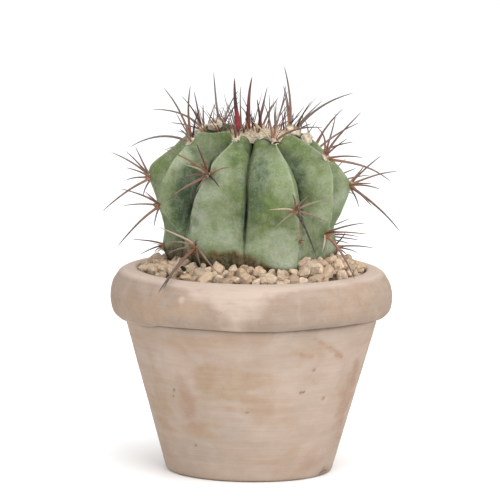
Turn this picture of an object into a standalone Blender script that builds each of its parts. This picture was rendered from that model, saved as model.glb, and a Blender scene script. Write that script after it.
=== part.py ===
"""Potted barrel cactus: a terracotta pot, the soil in it, a gravel top dressing and the ribbed plant.

Metres, +Z up. The origin is the centre of the pot's underside, and the front is -Y. Lists of points are
in millimetres, and an azimuth is in degrees round from the front (-Y) towards the right (+X).
"""

import math
import random

import bmesh
import bpy
from mathutils import Matrix, Vector

MM = 0.001

# Pot, in metres
RIM_RADIUS = 0.070
POT_HEIGHT = 0.1013
BASE_RADIUS = 0.0416
MOUTH_RADIUS = 0.0567
FLOOR_THICKNESS = 0.008
DRAIN_RADIUS = 0.0085
WALL_FOOT_RADIUS = 0.0350
FLOOR_BEVEL = 0.003
WALL_TOP = 0.0850
MOUTH_FOOT = 0.0930
WALL_TOP_RADIUS = 0.0555
BASE_BEVEL = 0.0013
POT_STEPS = 40

# Fillings, in metres
GAP = 0.0003
SOIL_TOP = 0.0955
NECK_RADIUS = 0.028
NECK_DEPTH = 0.008
BED_OUTER_TOP = 0.0990
BED_INNER_TOP = 0.1052
BED_LIP_RADIUS = 0.0418
STONE_RADIUS = 0.0036
STONE_SPACING = 0.0060
STONE_RINGS = (0.0524, 0.0474)
STONE_SEED = 7
STONE_CORNERS = (0.80, 1.04)
STONE_WIDTHS = (0.78, 1.0)
STONE_HEIGHTS = (0.72, 0.95)
STONE_LIFT = (-0.0004, 0.0010)
STONE_SHIFT = 0.15

# Stem: its surface is measured from this height on the axis, in mm
CORE_HEIGHT = 136.0
CROWN_HEIGHT = 167.0
FOOT = [(0.0, 87.8), (28.0, 87.8), (28.0, 96.4), (38.5, 102.6)]
STEPS_ACROSS_RIB = 6
STEM_LEVELS = (-36, -31, -25, -19, -12, -5, 0, 5, 11, 18, 25, 32, 39, 46, 52, 60, 72)

# Depth of the grooves as a share of the crest's distance, at elevations in degrees seen from the core
GROOVE_DEPTH = [(-41, 0.0), (-33, 0.06), (-20, 0.17), (-5, 0.25),
                (20, 0.27), (42, 0.28), (58, 0.22), (90, 0.0)]
FULL_DEPTH_SPACING = 30.0
FLANK_SLOPE = 0.45
FLANK_CURVE = 3.0

# Crest of each rib from foot to crown, as (azimuth, radius, height)
CRESTS = {
    "left": [(-90, 42.0, 106), (-91, 44.8, 111), (-95, 43.4, 120), (-99, 48.0, 137), (-100, 51.6, 145),
             (-101, 50.6, 150.5), (-106, 35.2, 165), (-113, 25.0, 170)],
    "left_front": [(-46, 40.4, 106), (-45, 44.0, 117), (-57, 44.0, 122), (-65, 46.2, 128),
                   (-71, 50.2, 134), (-69, 49.0, 141), (-66, 48.8, 147), (-66, 43.6, 156),
                   (-70, 33.4, 166), (-76, 25.0, 169.8)],
    "front_left": [(-40, 40.2, 106), (-41, 44.4, 117), (-41, 46.0, 130), (-34, 49.4, 142),
                   (-30, 49.2, 148.5), (-29, 45.4, 155), (-26, 37.0, 162), (-20, 26.0, 169.3)],
    "front_right": [(31, 40.8, 106), (32.5, 43.8, 119.5), (30, 46.0, 128), (26, 49.6, 136), (25, 49.2, 143),
                    (24, 48.0, 150), (23, 42.0, 158.5), (20, 29.4, 168.3), (18, 24.0, 169.8)],
    "right_front": [(60, 41.0, 106), (57, 44.6, 121.5), (56, 47.0, 130), (53, 49.6, 143), (55, 48.2, 151),
                    (62, 40.8, 159.5), (62, 31.6, 164.8), (63, 22.0, 169)],
    "right": [(92, 40.8, 106), (92, 42.6, 111), (94, 40.4, 121), (95, 44.4, 129), (95, 49.8, 143),
              (95, 45.6, 149), (96, 40.6, 154), (97, 32.8, 163), (99, 26.0, 168), (106, 21.0, 170)],
    "right_back": [(134, 42.0, 106), (135, 44.2, 118), (137, 46.4, 128), (138, 50.2, 136), (138, 48.6, 148),
                   (137, 42.6, 158), (134, 26.0, 169.6)],
    "back": [(178, 42.0, 106), (178, 44.2, 112), (179, 43.6, 122), (178, 49.8, 144), (177, 47.0, 151),
             (176, 38.0, 162), (174, 25.0, 169.8)],
    "left_back": [(220, 42.0, 106), (220, 44.4, 119), (221, 46.4, 129), (220, 50.4, 137), (221, 48.4, 149),
                  (220, 41.4, 159), (218, 27.0, 169.8)],
}

# Areoles on the crests as (rib, height), and the spines of those in view from the front: each spine's tip
# from its areole, as (to the right, upwards, towards the viewer)
SIGHT_SLOPE = 0.147
AREOLES = {
    "left_foot": ("left", 111, [(-15, 3.5, -4), (-10.5, -4, 8), (-4, -3, -12)]),
    "left_side": ("left", 145, [(-12.5, 12.5, 6), (-20, 12, -4), (-8, 15, -10), (-12, 4, 14), (-24, -18, 4),
                                (-4, -10, -12), (-13, -2, -15)]),
    "left_front_side": ("left_front", 134, [(-5.5, 6.5, 12), (-18, 8, 6), (-17, -0.5, -6), (-19, -21, 9),
                                            (-1, -11, 12), (-3, 3, 21)]),
    "left_front_top": ("left_front", 166, [(-29.5, -4, 6), (-12, 25.5, 4), (-7, 13.5, -4), (0, 27, 3),
                                           (4.5, 15, 6), (-5, 5, 16)]),
    "front_left_foot": ("front_left", 117, [(-17.5, 10.5, 12), (-13.5, 3, 14), (-13, -3, 16),
                                            (-17, -24, 25), (-14.5, -22, 25), (11, -12.5, 18),
                                            (4, -11.5, 17), (2, 4, 21)]),
    "front_left_side": ("front_left", 155, [(-5, 14.5, 12), (5, 9, 17), (-20.5, 11.5, 15), (-11.5, 4, 20),
                                            (12, 3, 15), (-13.5, -3.5, 17), (-19, -14, 16), (6.5, -7, 20),
                                            (-5, -9.5, 15), (-2, 1, 29)]),
    "front_right_top": ("front_right", 168.3, [(24, 6.5, 9), (-7, 0, 16), (4, -2, 18), (-5, 18, 5),
                                               (-11.5, 10, 8), (1, 20, -4), (6.5, 24.5, 2)]),
    "front_right_side": ("front_right", 136, [(17.5, 6, 9), (8.5, 8.5, 15), (-2.5, 8, 16),
                                              (-14, 0, 13), (-11.5, -9.5, 13), (14, -5.5, 13),
                                              (9.5, -22, 15), (1, -1, 28)]),
    "front_right_foot": ("front_right", 119.5, [(-3, 1.5, 7), (3.5, 1, 7)]),
    "right_front_foot": ("right_front", 121.5, [(18, 6, 8), (20, 0.5, 2), (-3, -9, 14), (13, -22, 24),
                                                (6, 1, 18)]),
    "right_front_top": ("right_front", 159.5, [(-5.5, 15, 9), (4.5, 22, -3), (17.5, 21.5, 2), (10, 9, 11),
                                               (32, -12, 6), (18, -0.5, 14)]),
    "right_foot": ("right", 111, [(18.5, 0.5, -4), (10, -2, 6), (3.5, 8, 10), (5, -3, -12)]),
    "right_side": ("right", 143, [(14, 14.5, 6), (22.5, 7, -5), (9.5, 0, 15), (24, -23.5, 4),
                                  (10, -11.5, 9), (3.5, -11.5, -8), (6, 10, -12), (14, -2, -17)]),
    "crown_left": ("left", 170, [(-30, 8, -3), (-10.5, 15.5, -2), (-16, 2, 3)]),
    "crown_back": ("left_back", 169.6, [(-1.5, 26, -3), (9, 18, -6), (9.5, 12, 4)]),
    "crown_front": ("front_left", 169.2, [(-4.5, 17, 4), (4.5, 8, 6), (-2, 7, 12)]),
    "crown_right": ("right", 169.8, [(8, 14.5, 4), (13.5, 15, -3), (25, 17, -2), (8, 3, 8)]),
    "crown_right_back": ("right_back", 169.4, [(-2, 30, -3), (-4, 20.5, 2), (1, 7, -8)]),
    "hidden_side": ("right_back", 136, []),
    "hidden_top": ("right_back", 161, []),
    "hidden_foot": ("right_back", 112, []),
    "hidden_back_side": ("back", 144, []),
    "hidden_back_foot": ("back", 112, []),
    "hidden_back_top": ("back", 163, []),
    "hidden_left_side": ("left_back", 137, []),
    "hidden_left_top": ("left_back", 161, []),
    "hidden_left_foot": ("left_back", 113, []),
}

# Young spines that stand in the middle of the crown, as (across, towards the front) of the root and the tip
CROWN_SPINES = [
    ((-6, 3, 169), (-2.5, 26, 2)),
    ((-4.5, -4, 169), (-0.5, 20, -2)),
    ((-2, -3, 169), (2.5, 25, -1)),
    ((2, 2, 169), (5, 13, 5)),
    ((5, -5, 169), (-9, 15, -3)),
    ((1, -8, 169), (6, 16, -6)),
    ((8, 5, 169), (-4, 17, 6)),
]

# Spines
ROOT_DEPTH = 2.2
SPINE_RADIUS_BASE = 0.45
SPINE_RADIUS_GROWTH = 0.015
SPINE_TIP_SHARE = 0.18
SPINE_BOW = 0.05
HIDDEN_RADIALS = 6
RADIAL_SPREAD = (52, 66)
RADIAL_LENGTH = (14, 22)
HIDDEN_CENTRALS = 2
CENTRAL_SPREAD = (14, 30)
CENTRAL_LENGTH = (25, 29)
FAN_HEIGHT = 130.0
SPINE_SEED = 21
LOWEST_HIDDEN_TIP = 110.5
PAD_SIZE = (2.9, 2.0, 3.6)
CROWN_WOOL_SIZE = (18.0, 18.0, 4.5)
CROWN_WOOL_HEIGHT = 168.4


def clear_scene():
    for obj in list(bpy.data.objects):
        bpy.data.objects.remove(obj, do_unlink=True)


def new_collection(name, hidden=False):
    collection = bpy.data.collections.new(name)
    bpy.context.scene.collection.children.link(collection)
    collection.hide_render = hidden
    return collection


def new_material(name, color, roughness):
    material = bpy.data.materials.new(name)
    material.use_nodes = True
    shader = material.node_tree.nodes["Principled BSDF"]
    shader.inputs["Base Color"].default_value = (*color, 1.0)
    shader.inputs["Roughness"].default_value = roughness
    shader.inputs["Metallic"].default_value = 0.0
    return material


def new_object(name, mesh, collection, material=None):
    obj = bpy.data.objects.new(name, mesh)
    collection.objects.link(obj)
    if material:
        mesh.materials.append(material)
    return obj


def mesh_from(bm, name):
    mesh = bpy.data.meshes.new(name)
    bm.to_mesh(mesh)
    bm.free()
    return mesh


def turned_object(name, profile, closed, steps, collection, material=None):
    """A profile of (radius, height) in metres that runs down its outer side, turned about Z."""
    bm = bmesh.new()
    verts = [bm.verts.new((radius, 0.0, height)) for radius, height in profile]
    pairs = list(zip(verts, verts[1:]))
    if closed:
        pairs.append((verts[-1], verts[0]))
    for start, end in pairs:
        bm.edges.new((start, end))
    obj = new_object(name, mesh_from(bm, name), collection, material)
    screw = obj.modifiers.new("Turn", "SCREW")
    screw.steps = steps
    screw.render_steps = steps
    screw.use_merge_vertices = True
    screw.merge_threshold = 0.00001
    return obj


def apply_modifiers(obj):
    """Replaces the object's mesh with the one its modifiers make."""
    bpy.context.view_layer.update()
    graph = bpy.context.evaluated_depsgraph_get()
    mesh = bpy.data.meshes.new_from_object(obj.evaluated_get(graph))
    obj.modifiers.clear()
    obj.data = mesh


def union_with(obj, collection):
    """Joins everything in the collection to the object, then removes it."""
    join = obj.modifiers.new("Join", "BOOLEAN")
    join.operation = "UNION"
    join.operand_type = "COLLECTION"
    join.collection = collection
    join.solver = "MANIFOLD"
    apply_modifiers(obj)
    keep_largest_body(obj)
    for other in list(collection.objects):
        bpy.data.objects.remove(other, do_unlink=True)


def keep_largest_body(obj):
    """Fills any hollow that the joining sealed, and drops any loose scrap."""
    bm = bmesh.new()
    bm.from_mesh(obj.data)
    left = set(bm.verts)
    bodies = []
    while left:
        body = set()
        reached = [left.pop()]
        while reached:
            vert = reached.pop()
            body.add(vert)
            near = {edge.other_vert(vert) for edge in vert.link_edges} & left
            left -= near
            reached.extend(near)
        bodies.append(body)
    bodies.sort(key=len)
    for body in bodies[:-1]:
        bmesh.ops.delete(bm, geom=list(body), context="VERTS")
    bm.to_mesh(obj.data)
    bm.free()


def between(points, where):
    """Straight interpolation in a list of tuples sorted by their first number."""
    if where <= points[0][0]:
        return points[0][1:]
    for low, high in zip(points, points[1:]):
        if where <= high[0]:
            share = (where - low[0]) / (high[0] - low[0])
            return tuple(a + (b - a) * share for a, b in zip(low[1:], high[1:]))
    return points[-1][1:]


def outward(azimuth):
    """Level direction away from the axis."""
    turn = math.radians(azimuth)
    return Vector((math.sin(turn), -math.cos(turn), 0.0))


def as_polar(radius, height):
    """(elevation, distance) seen from the core of the stem."""
    rise = height - CORE_HEIGHT
    return math.degrees(math.atan2(rise, radius)), math.hypot(radius, rise)


def foot_line():
    return [as_polar(radius, height) for radius, height in FOOT]


def crest_line(rib):
    """(elevation, distance, azimuth) along a rib's crest, from the bottom of the stem to the top."""
    points = CRESTS[rib]
    line = [(*polar, points[0][0]) for polar in foot_line()]
    line += [(*as_polar(radius, height), azimuth) for azimuth, radius, height in points]
    line.append((90.0, CROWN_HEIGHT - CORE_HEIGHT, points[-1][0]))
    return line


def crest_lines():
    return [crest_line(rib) for rib in CRESTS]


def stem_point(lines, place, elevation):
    """Point of the stem, in mm. place counts ribs: a whole number is a groove, and half past it a crest."""
    index = math.floor(place)
    share = place - index
    distance, azimuth = between(lines[index % len(lines)], elevation)
    side = 1 if share > 0.5 else -1
    other_distance, other_azimuth = between(lines[(index + side) % len(lines)], elevation)
    half_turn = ((other_azimuth - azimuth) * side) % 360.0 / 2.0
    depth = between(GROOVE_DEPTH, elevation)[0] * min(1.0, 2.0 * half_turn / FULL_DEPTH_SPACING)
    groove = (distance + other_distance) / 2.0 * (1.0 - depth)
    away = abs(share - 0.5) * 2.0
    rise = 1.0 - FLANK_SLOPE * away - (1.0 - FLANK_SLOPE) * away ** FLANK_CURVE
    reach = groove + (distance - groove) * rise
    level = outward(azimuth + side * half_turn * away)
    tilt = math.radians(elevation)
    return level * (reach * math.cos(tilt)) + Vector((0.0, 0.0, CORE_HEIGHT + reach * math.sin(tilt)))


def areole_at(rib, height):
    """(point, outward direction) in mm of an areole on a rib's crest."""
    points = [(point[2], point[0], point[1]) for point in CRESTS[rib]]
    azimuth, radius = between(points, height)
    point = outward(azimuth) * radius + Vector((0.0, 0.0, height))
    return point, (point - Vector((0.0, 0.0, FAN_HEIGHT))).normalized()


def stem_mesh():
    """A turned body of one meridian for each sixth of a rib, moved on to the ribs."""
    lines = crest_lines()
    levels = [point[0] for point in foot_line()] + list(STEM_LEVELS) + [90.0]
    bm = bmesh.new()
    verts = [bm.verts.new((math.cos(math.radians(e)), 0.0, math.sin(math.radians(e)))) for e in levels]
    edges = [bm.edges.new(pair) for pair in zip(verts, verts[1:])]
    steps = STEPS_ACROSS_RIB * len(lines)
    bmesh.ops.spin(bm, geom=verts + edges, axis=(0, 0, 1), cent=(0, 0, 0), steps=steps, angle=math.tau)
    bmesh.ops.remove_doubles(bm, verts=bm.verts, dist=0.0001)
    for vert in bm.verts:
        elevation = math.degrees(math.asin(max(-1.0, min(1.0, vert.co.z))))
        place = (math.atan2(vert.co.y, vert.co.x) / math.tau * len(lines)) % len(lines)
        place = round(place * STEPS_ACROSS_RIB) / STEPS_ACROSS_RIB
        vert.co = stem_point(lines, place, elevation) * MM
    bmesh.ops.recalc_face_normals(bm, faces=bm.faces)
    return mesh_from(bm, "stem")


def pad_mesh(point, direction, size):
    """A low, blunt felt pad on the stem, sunk to its middle."""
    bm = bmesh.new()
    bmesh.ops.create_uvsphere(bm, u_segments=6, v_segments=4, radius=1.0)
    bmesh.ops.scale(bm, vec=[width * MM for width in size], verts=bm.verts)
    turn = direction.to_track_quat("Y", "Z").to_matrix().to_4x4()
    bmesh.ops.transform(bm, matrix=Matrix.Translation(point * MM) @ turn, verts=bm.verts)
    return mesh_from(bm, "pad")


def needle_mesh(root, tip, bow):
    """A three-sided needle from root to tip, in mm, its middle moved by bow."""
    bm = bmesh.new()
    length = (tip - root).length
    thick = SPINE_RADIUS_BASE + SPINE_RADIUS_GROWTH * length
    bmesh.ops.create_cone(bm, cap_ends=True, segments=3, radius1=thick, radius2=thick * SPINE_TIP_SHARE,
                          depth=1.0)
    bmesh.ops.bisect_plane(bm, geom=bm.verts[:] + bm.edges[:] + bm.faces[:], dist=0.0001,
                           plane_co=(0, 0, 0), plane_no=(0, 0, 1))
    frame = (tip - root).to_track_quat("Z", "Y").to_matrix()
    for vert in bm.verts:
        along = vert.co.z + 0.5
        ring = frame @ Vector((vert.co.x, vert.co.y, 0.0))
        vert.co = (root + (tip - root) * along + bow * (4.0 * along * (1.0 - along)) + ring) * MM
    bmesh.ops.triangulate(bm, faces=bm.faces)
    return mesh_from(bm, "needle")


def hidden_tips(direction, height, draw):
    """Tips of the spines of an areole at the back: a fan of short ones and long ones in its middle.

    The lowest are bent up, clear of the gravel.
    """
    across = direction.cross(Vector((0, 0, 1))).normalized()
    up = across.cross(direction).normalized()
    tips = []
    for number in range(HIDDEN_RADIALS + HIDDEN_CENTRALS):
        central = number >= HIDDEN_RADIALS
        turn = math.tau * (number + draw.uniform(-0.25, 0.25)) / HIDDEN_RADIALS
        spread = math.radians(draw.uniform(*(CENTRAL_SPREAD if central else RADIAL_SPREAD)))
        length = draw.uniform(*(CENTRAL_LENGTH if central else RADIAL_LENGTH))
        side = across * math.cos(turn) + up * math.sin(turn)
        tip = (direction * math.cos(spread) + side * math.sin(spread)) * length
        tip.z = max(tip.z, LOWEST_HIDDEN_TIP - height)
        tips.append(tip)
    return tips


def bow_of(tip, direction):
    """How far a spine's middle stands out from the straight line, away from the stem and upwards."""
    along = tip.normalized()
    out = direction + Vector((0, 0, 1))
    out -= along * out.dot(along)
    return out.normalized() * (tip.length * SPINE_BOW)


def spine_paths():
    """(root, tip, bow) of every spine, in mm."""
    draw = random.Random(SPINE_SEED)
    paths = []
    for rib, height, reaches in AREOLES.values():
        point, direction = areole_at(rib, height)
        tips = [Vector((x, -lean, up + SIGHT_SLOPE * lean)) for x, up, lean in reaches]
        for tip in tips or hidden_tips(direction, height, draw):
            paths.append((point - direction * ROOT_DEPTH, point + tip, bow_of(tip, direction)))
    for (x, front, height), (reach, up, lean) in CROWN_SPINES:
        root = Vector((x, -front, height - ROOT_DEPTH))
        tip = Vector((reach, -lean, up))
        paths.append((root, root + tip, Vector((0, 0, 0))))
    return paths


def make_cactus(parts, helpers, material):
    cactus = new_object("cactus", stem_mesh(), parts, material)
    for rib, height, _ in AREOLES.values():
        point, direction = areole_at(rib, height)
        new_object("pad", pad_mesh(point, direction, PAD_SIZE), helpers)
    crown = Vector((0.0, 0.0, CROWN_WOOL_HEIGHT))
    new_object("wool", pad_mesh(crown, Vector((0, 1, 0)), CROWN_WOOL_SIZE), helpers)
    for root, tip, bow in spine_paths():
        new_object("needle", needle_mesh(root, tip, bow), helpers)
    union_with(cactus, helpers)


def pot_profile():
    """Outer side from the lip down to the base, then the drain hole, the floor and the inner wall."""
    lip = [(0.0576, POT_HEIGHT), (0.0625, 0.1007), (0.0655, 0.0993), (0.0672, 0.0970), (0.0690, 0.0938)]
    roll = [(RIM_RADIUS, 0.0890), (RIM_RADIUS, 0.0845), (0.0690, 0.0806), (0.0664, 0.0784)]
    side = [(0.0632, 0.0776), (BASE_RADIUS, BASE_BEVEL), (BASE_RADIUS - BASE_BEVEL, 0.0)]
    hole = [(DRAIN_RADIUS, 0.0), (DRAIN_RADIUS, FLOOR_THICKNESS)]
    inside = [(WALL_FOOT_RADIUS - FLOOR_BEVEL, FLOOR_THICKNESS),
              (WALL_FOOT_RADIUS, FLOOR_THICKNESS + FLOOR_BEVEL)]
    mouth = [(WALL_TOP_RADIUS, WALL_TOP), (MOUTH_RADIUS, MOUTH_FOOT), (MOUTH_RADIUS, 0.1004)]
    return lip + roll + side + hole + inside + mouth


def inner_wall_radius(height):
    """Radius of the pot's inner wall at a height."""
    line = [(FLOOR_THICKNESS + FLOOR_BEVEL, WALL_FOOT_RADIUS), (WALL_TOP, WALL_TOP_RADIUS),
            (MOUTH_FOOT, MOUTH_RADIUS)]
    return between(line, height)[0]


def make_pot(parts, material):
    pot = turned_object("pot", pot_profile(), True, POT_STEPS, parts, material)
    apply_modifiers(pot)
    pot.data.shade_smooth()
    pot.data.set_sharp_from_angle(angle=math.radians(35))


def make_soil(parts, material):
    pocket = NECK_RADIUS + 2 * GAP
    floor = SOIL_TOP - NECK_DEPTH
    low = FLOOR_THICKNESS + GAP
    top = [(0.0, floor), (pocket, floor), (pocket, SOIL_TOP), (inner_wall_radius(SOIL_TOP) - GAP, SOIL_TOP)]
    heights = (MOUTH_FOOT, WALL_TOP, low + FLOOR_BEVEL)
    side = [(inner_wall_radius(height) - GAP, height) for height in heights]
    bottom = [(WALL_FOOT_RADIUS - FLOOR_BEVEL - GAP, low), (0.0, low)]
    soil = turned_object("soil", top + side + bottom, False, POT_STEPS, parts, material)
    apply_modifiers(soil)


def bed_height(radius):
    """The gravel rises from the pot's wall to the foot of the plant."""
    share = (MOUTH_RADIUS - radius) / (MOUTH_RADIUS - FOOT[3][0] * MM)
    return BED_OUTER_TOP + (BED_INNER_TOP - BED_OUTER_TOP) * share


def stone_mesh(centre, draw):
    """One rough stone: an icosahedron with uneven corners."""
    bm = bmesh.new()
    bmesh.ops.create_icosphere(bm, subdivisions=1, radius=STONE_RADIUS)
    for vert in bm.verts:
        vert.co *= draw.uniform(*STONE_CORNERS)
    flat = Matrix.Diagonal((1.0, draw.uniform(*STONE_WIDTHS), draw.uniform(*STONE_HEIGHTS), 1.0))
    spin = Matrix.Rotation(draw.uniform(0, math.tau), 4, Vector((draw.random(), draw.random(), 1.0)))
    bmesh.ops.transform(bm, matrix=Matrix.Translation(centre) @ spin @ flat, verts=bm.verts)
    return mesh_from(bm, "stone")


def make_gravel(parts, helpers, material):
    hole = NECK_RADIUS + 2 * GAP
    low = SOIL_TOP + GAP
    cone = [(radius * MM + 2 * GAP, height * MM - GAP) for radius, height in (FOOT[3], FOOT[2])]
    rim = inner_wall_radius(BED_OUTER_TOP) - GAP
    lip = [(cone[0][0], cone[0][1]), (BED_LIP_RADIUS, bed_height(BED_LIP_RADIUS))]
    profile = lip + [(rim, BED_OUTER_TOP), (rim, low), (hole, low), cone[1]]
    gravel = turned_object("gravel", profile, True, POT_STEPS, parts, material)
    apply_modifiers(gravel)
    draw = random.Random(STONE_SEED)
    for ring in STONE_RINGS:
        count = round(math.tau * ring / STONE_SPACING)
        for number in range(count):
            turn = math.tau * (number + draw.uniform(-STONE_SHIFT, STONE_SHIFT)) / count
            height = bed_height(ring) + draw.uniform(*STONE_LIFT)
            centre = Vector((ring * math.cos(turn), ring * math.sin(turn), height))
            new_object("stone", stone_mesh(centre, draw), helpers)
    union_with(gravel, helpers)


def main():
    clear_scene()
    parts = new_collection("potted_barrel_cactus")
    helpers = new_collection("helpers", hidden=True)
    make_pot(parts, new_material("terracotta", (0.52, 0.40, 0.30), 0.85))
    make_soil(parts, new_material("soil", (0.09, 0.06, 0.04), 0.95))
    make_gravel(parts, helpers, new_material("gravel", (0.55, 0.42, 0.30), 0.9))
    make_cactus(parts, helpers, new_material("cactus_skin", (0.18, 0.30, 0.16), 0.6))
    bpy.data.collections.remove(helpers)


main()
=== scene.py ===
"""The looks of the potted barrel cactus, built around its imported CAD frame.

Metres, +Z up, the front is -Y. Lists of points are in millimetres, and an azimuth is in degrees round
from the front (-Y) towards the right (+X).
"""

import itertools
import math
import random

import bpy
import numpy as np
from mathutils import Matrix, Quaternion, Vector, noise


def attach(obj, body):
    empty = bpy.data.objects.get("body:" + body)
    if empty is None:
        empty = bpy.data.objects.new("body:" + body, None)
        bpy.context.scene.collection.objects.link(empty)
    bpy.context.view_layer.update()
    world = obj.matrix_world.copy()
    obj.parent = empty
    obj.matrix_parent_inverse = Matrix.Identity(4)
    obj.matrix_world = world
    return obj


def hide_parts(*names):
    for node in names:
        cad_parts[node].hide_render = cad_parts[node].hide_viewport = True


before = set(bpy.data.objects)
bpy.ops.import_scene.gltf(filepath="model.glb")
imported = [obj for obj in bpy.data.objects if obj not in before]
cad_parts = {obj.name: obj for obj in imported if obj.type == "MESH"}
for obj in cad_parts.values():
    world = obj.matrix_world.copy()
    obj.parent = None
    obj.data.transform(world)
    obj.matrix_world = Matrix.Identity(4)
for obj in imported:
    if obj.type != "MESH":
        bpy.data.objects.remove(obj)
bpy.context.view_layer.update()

MM = 0.001
UP = Vector((0.0, 0.0, 1.0))

# Pot outline as (radius, height): from the lip's inner edge over the roll to its underside, down the side,
# and through the drain hole up the inside
LIP_LINE = [
    (56.7, 97.0), (56.75, 99.4), (57.2, 100.8), (58.4, 101.3), (62.5, 100.7), (65.5, 99.3), (67.2, 97.0),
    (69.0, 93.8), (70.0, 89.0), (70.0, 84.5), (69.0, 80.6), (66.8, 78.4), (65.1, 77.8), (64.2, 78.4),
    (63.6, 79.6), (63.0, 79.9), (62.7, 79.0),
]
SIDE_LINE = [(62.9, 77.4), (62.9, 76.4), (41.9, 2.3), (41.6, 1.3), (40.9, 0.4), (39.6, 0.0)]
BOTTOM_LINE = [(39.6, 0.0), (24.0, 0.0), (9.0, 0.0), (8.5, 0.4), (8.5, 7.6), (9.0, 8.0), (31.0, 8.0),
               (34.0, 9.0), (35.0, 11.0), (45.0, 47.0), (55.5, 85.0), (56.7, 93.0)]
POT_MERIDIANS = 360

# Stem: its surface is measured from the core's height on the axis; the foot is its neck as (radius, height)
CORE_HEIGHT = 136.0
CROWN_HEIGHT = 167.0
STEM_FOOT, FOOT_TOP = 106.0, 122.0
FOOT = [(0.0, 87.8), (28.0, 87.8), (28.0, 96.4), (38.5, 102.6)]
FLANK_STEPS = 18
STEM_STEP = 0.75

# Depth of a plain groove as (elevation, share), and how many degrees apart its ribs are at full depth
GROOVE_DEPTH = [
    (-41, 0.0), (-33, 0.06), (-20, 0.17), (-5, 0.25), (20, 0.27), (42, 0.28), (58, 0.22), (90, 0.0),
]
FULL_DEPTH_SPACING = 30.0

# Crest of each rib from foot to crown, as (azimuth, radius, height)
CRESTS = {
    "left": [(-90, 42.0, 106), (-91, 44.8, 111), (-95, 43.4, 120), (-99, 49.4, 137), (-100, 53.2, 145),
        (-101, 52.0, 150.5), (-106, 35.6, 165), (-112, 27.0, 170.3), (-114, 20.5, 172.2),
        (-124, 15.5, 172.4)],
    "left_front": [(-46, 40.4, 106), (-45, 44.0, 117), (-57, 44.0, 122), (-65, 46.2, 128),
        (-71, 50.2, 134), (-69, 49.0, 141), (-66, 48.8, 147), (-66, 43.6, 156), (-70, 33.4, 166),
        (-68, 28.5, 170.6), (-58, 24.0, 169.4), (-48, 19.5, 170.8)],
    "front_left": [(-40, 40.2, 106), (-41, 44.4, 117), (-41, 46.0, 130), (-34, 49.4, 142),
        (-30, 49.2, 148.5), (-29, 45.4, 155), (-26, 37.0, 162), (-18, 25.5, 170.0)],
    "front_right": [(31, 40.8, 106), (32.5, 43.8, 119.5), (30, 46.0, 128), (26, 49.6, 136),
        (25, 49.2, 143), (24, 48.0, 150), (23, 42.0, 158.5), (20, 29.4, 168.3), (18, 24.0, 169.8)],
    "right_front": [(60, 41.0, 106), (57, 44.6, 121.5), (56, 47.0, 130), (53, 49.6, 143), (55, 48.2, 151),
        (62, 40.8, 159.5), (62, 31.6, 164.8), (63, 22.0, 169)],
    "right": [(92, 40.8, 106), (92, 42.6, 111), (94, 40.4, 121), (95, 44.4, 129), (95, 49.8, 143),
        (95, 45.6, 149), (96, 40.6, 154), (97, 32.8, 163), (99, 26.0, 168), (106, 21.0, 170)],
    "right_back": [(134, 42.0, 106), (135, 44.2, 118), (137, 46.4, 128), (138, 50.2, 136),
        (138, 48.6, 148), (137, 42.6, 158), (134, 26.0, 169.6)],
    "back": [(178, 42.0, 106), (178, 44.2, 112), (179, 43.6, 122), (178, 49.8, 144), (177, 47.0, 151),
        (176, 38.0, 162), (174, 25.0, 169.8)],
    "left_back": [(220, 42.0, 106), (220, 44.4, 119), (221, 46.4, 129), (220, 50.4, 137), (221, 48.4, 149),
        (220, 41.4, 159), (218, 27.0, 169.8)],
}

# How steeply the front is looked down on: a tip nearer the viewer by 1 is seen lower by this
SIGHT_SLOPE = 0.147

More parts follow.
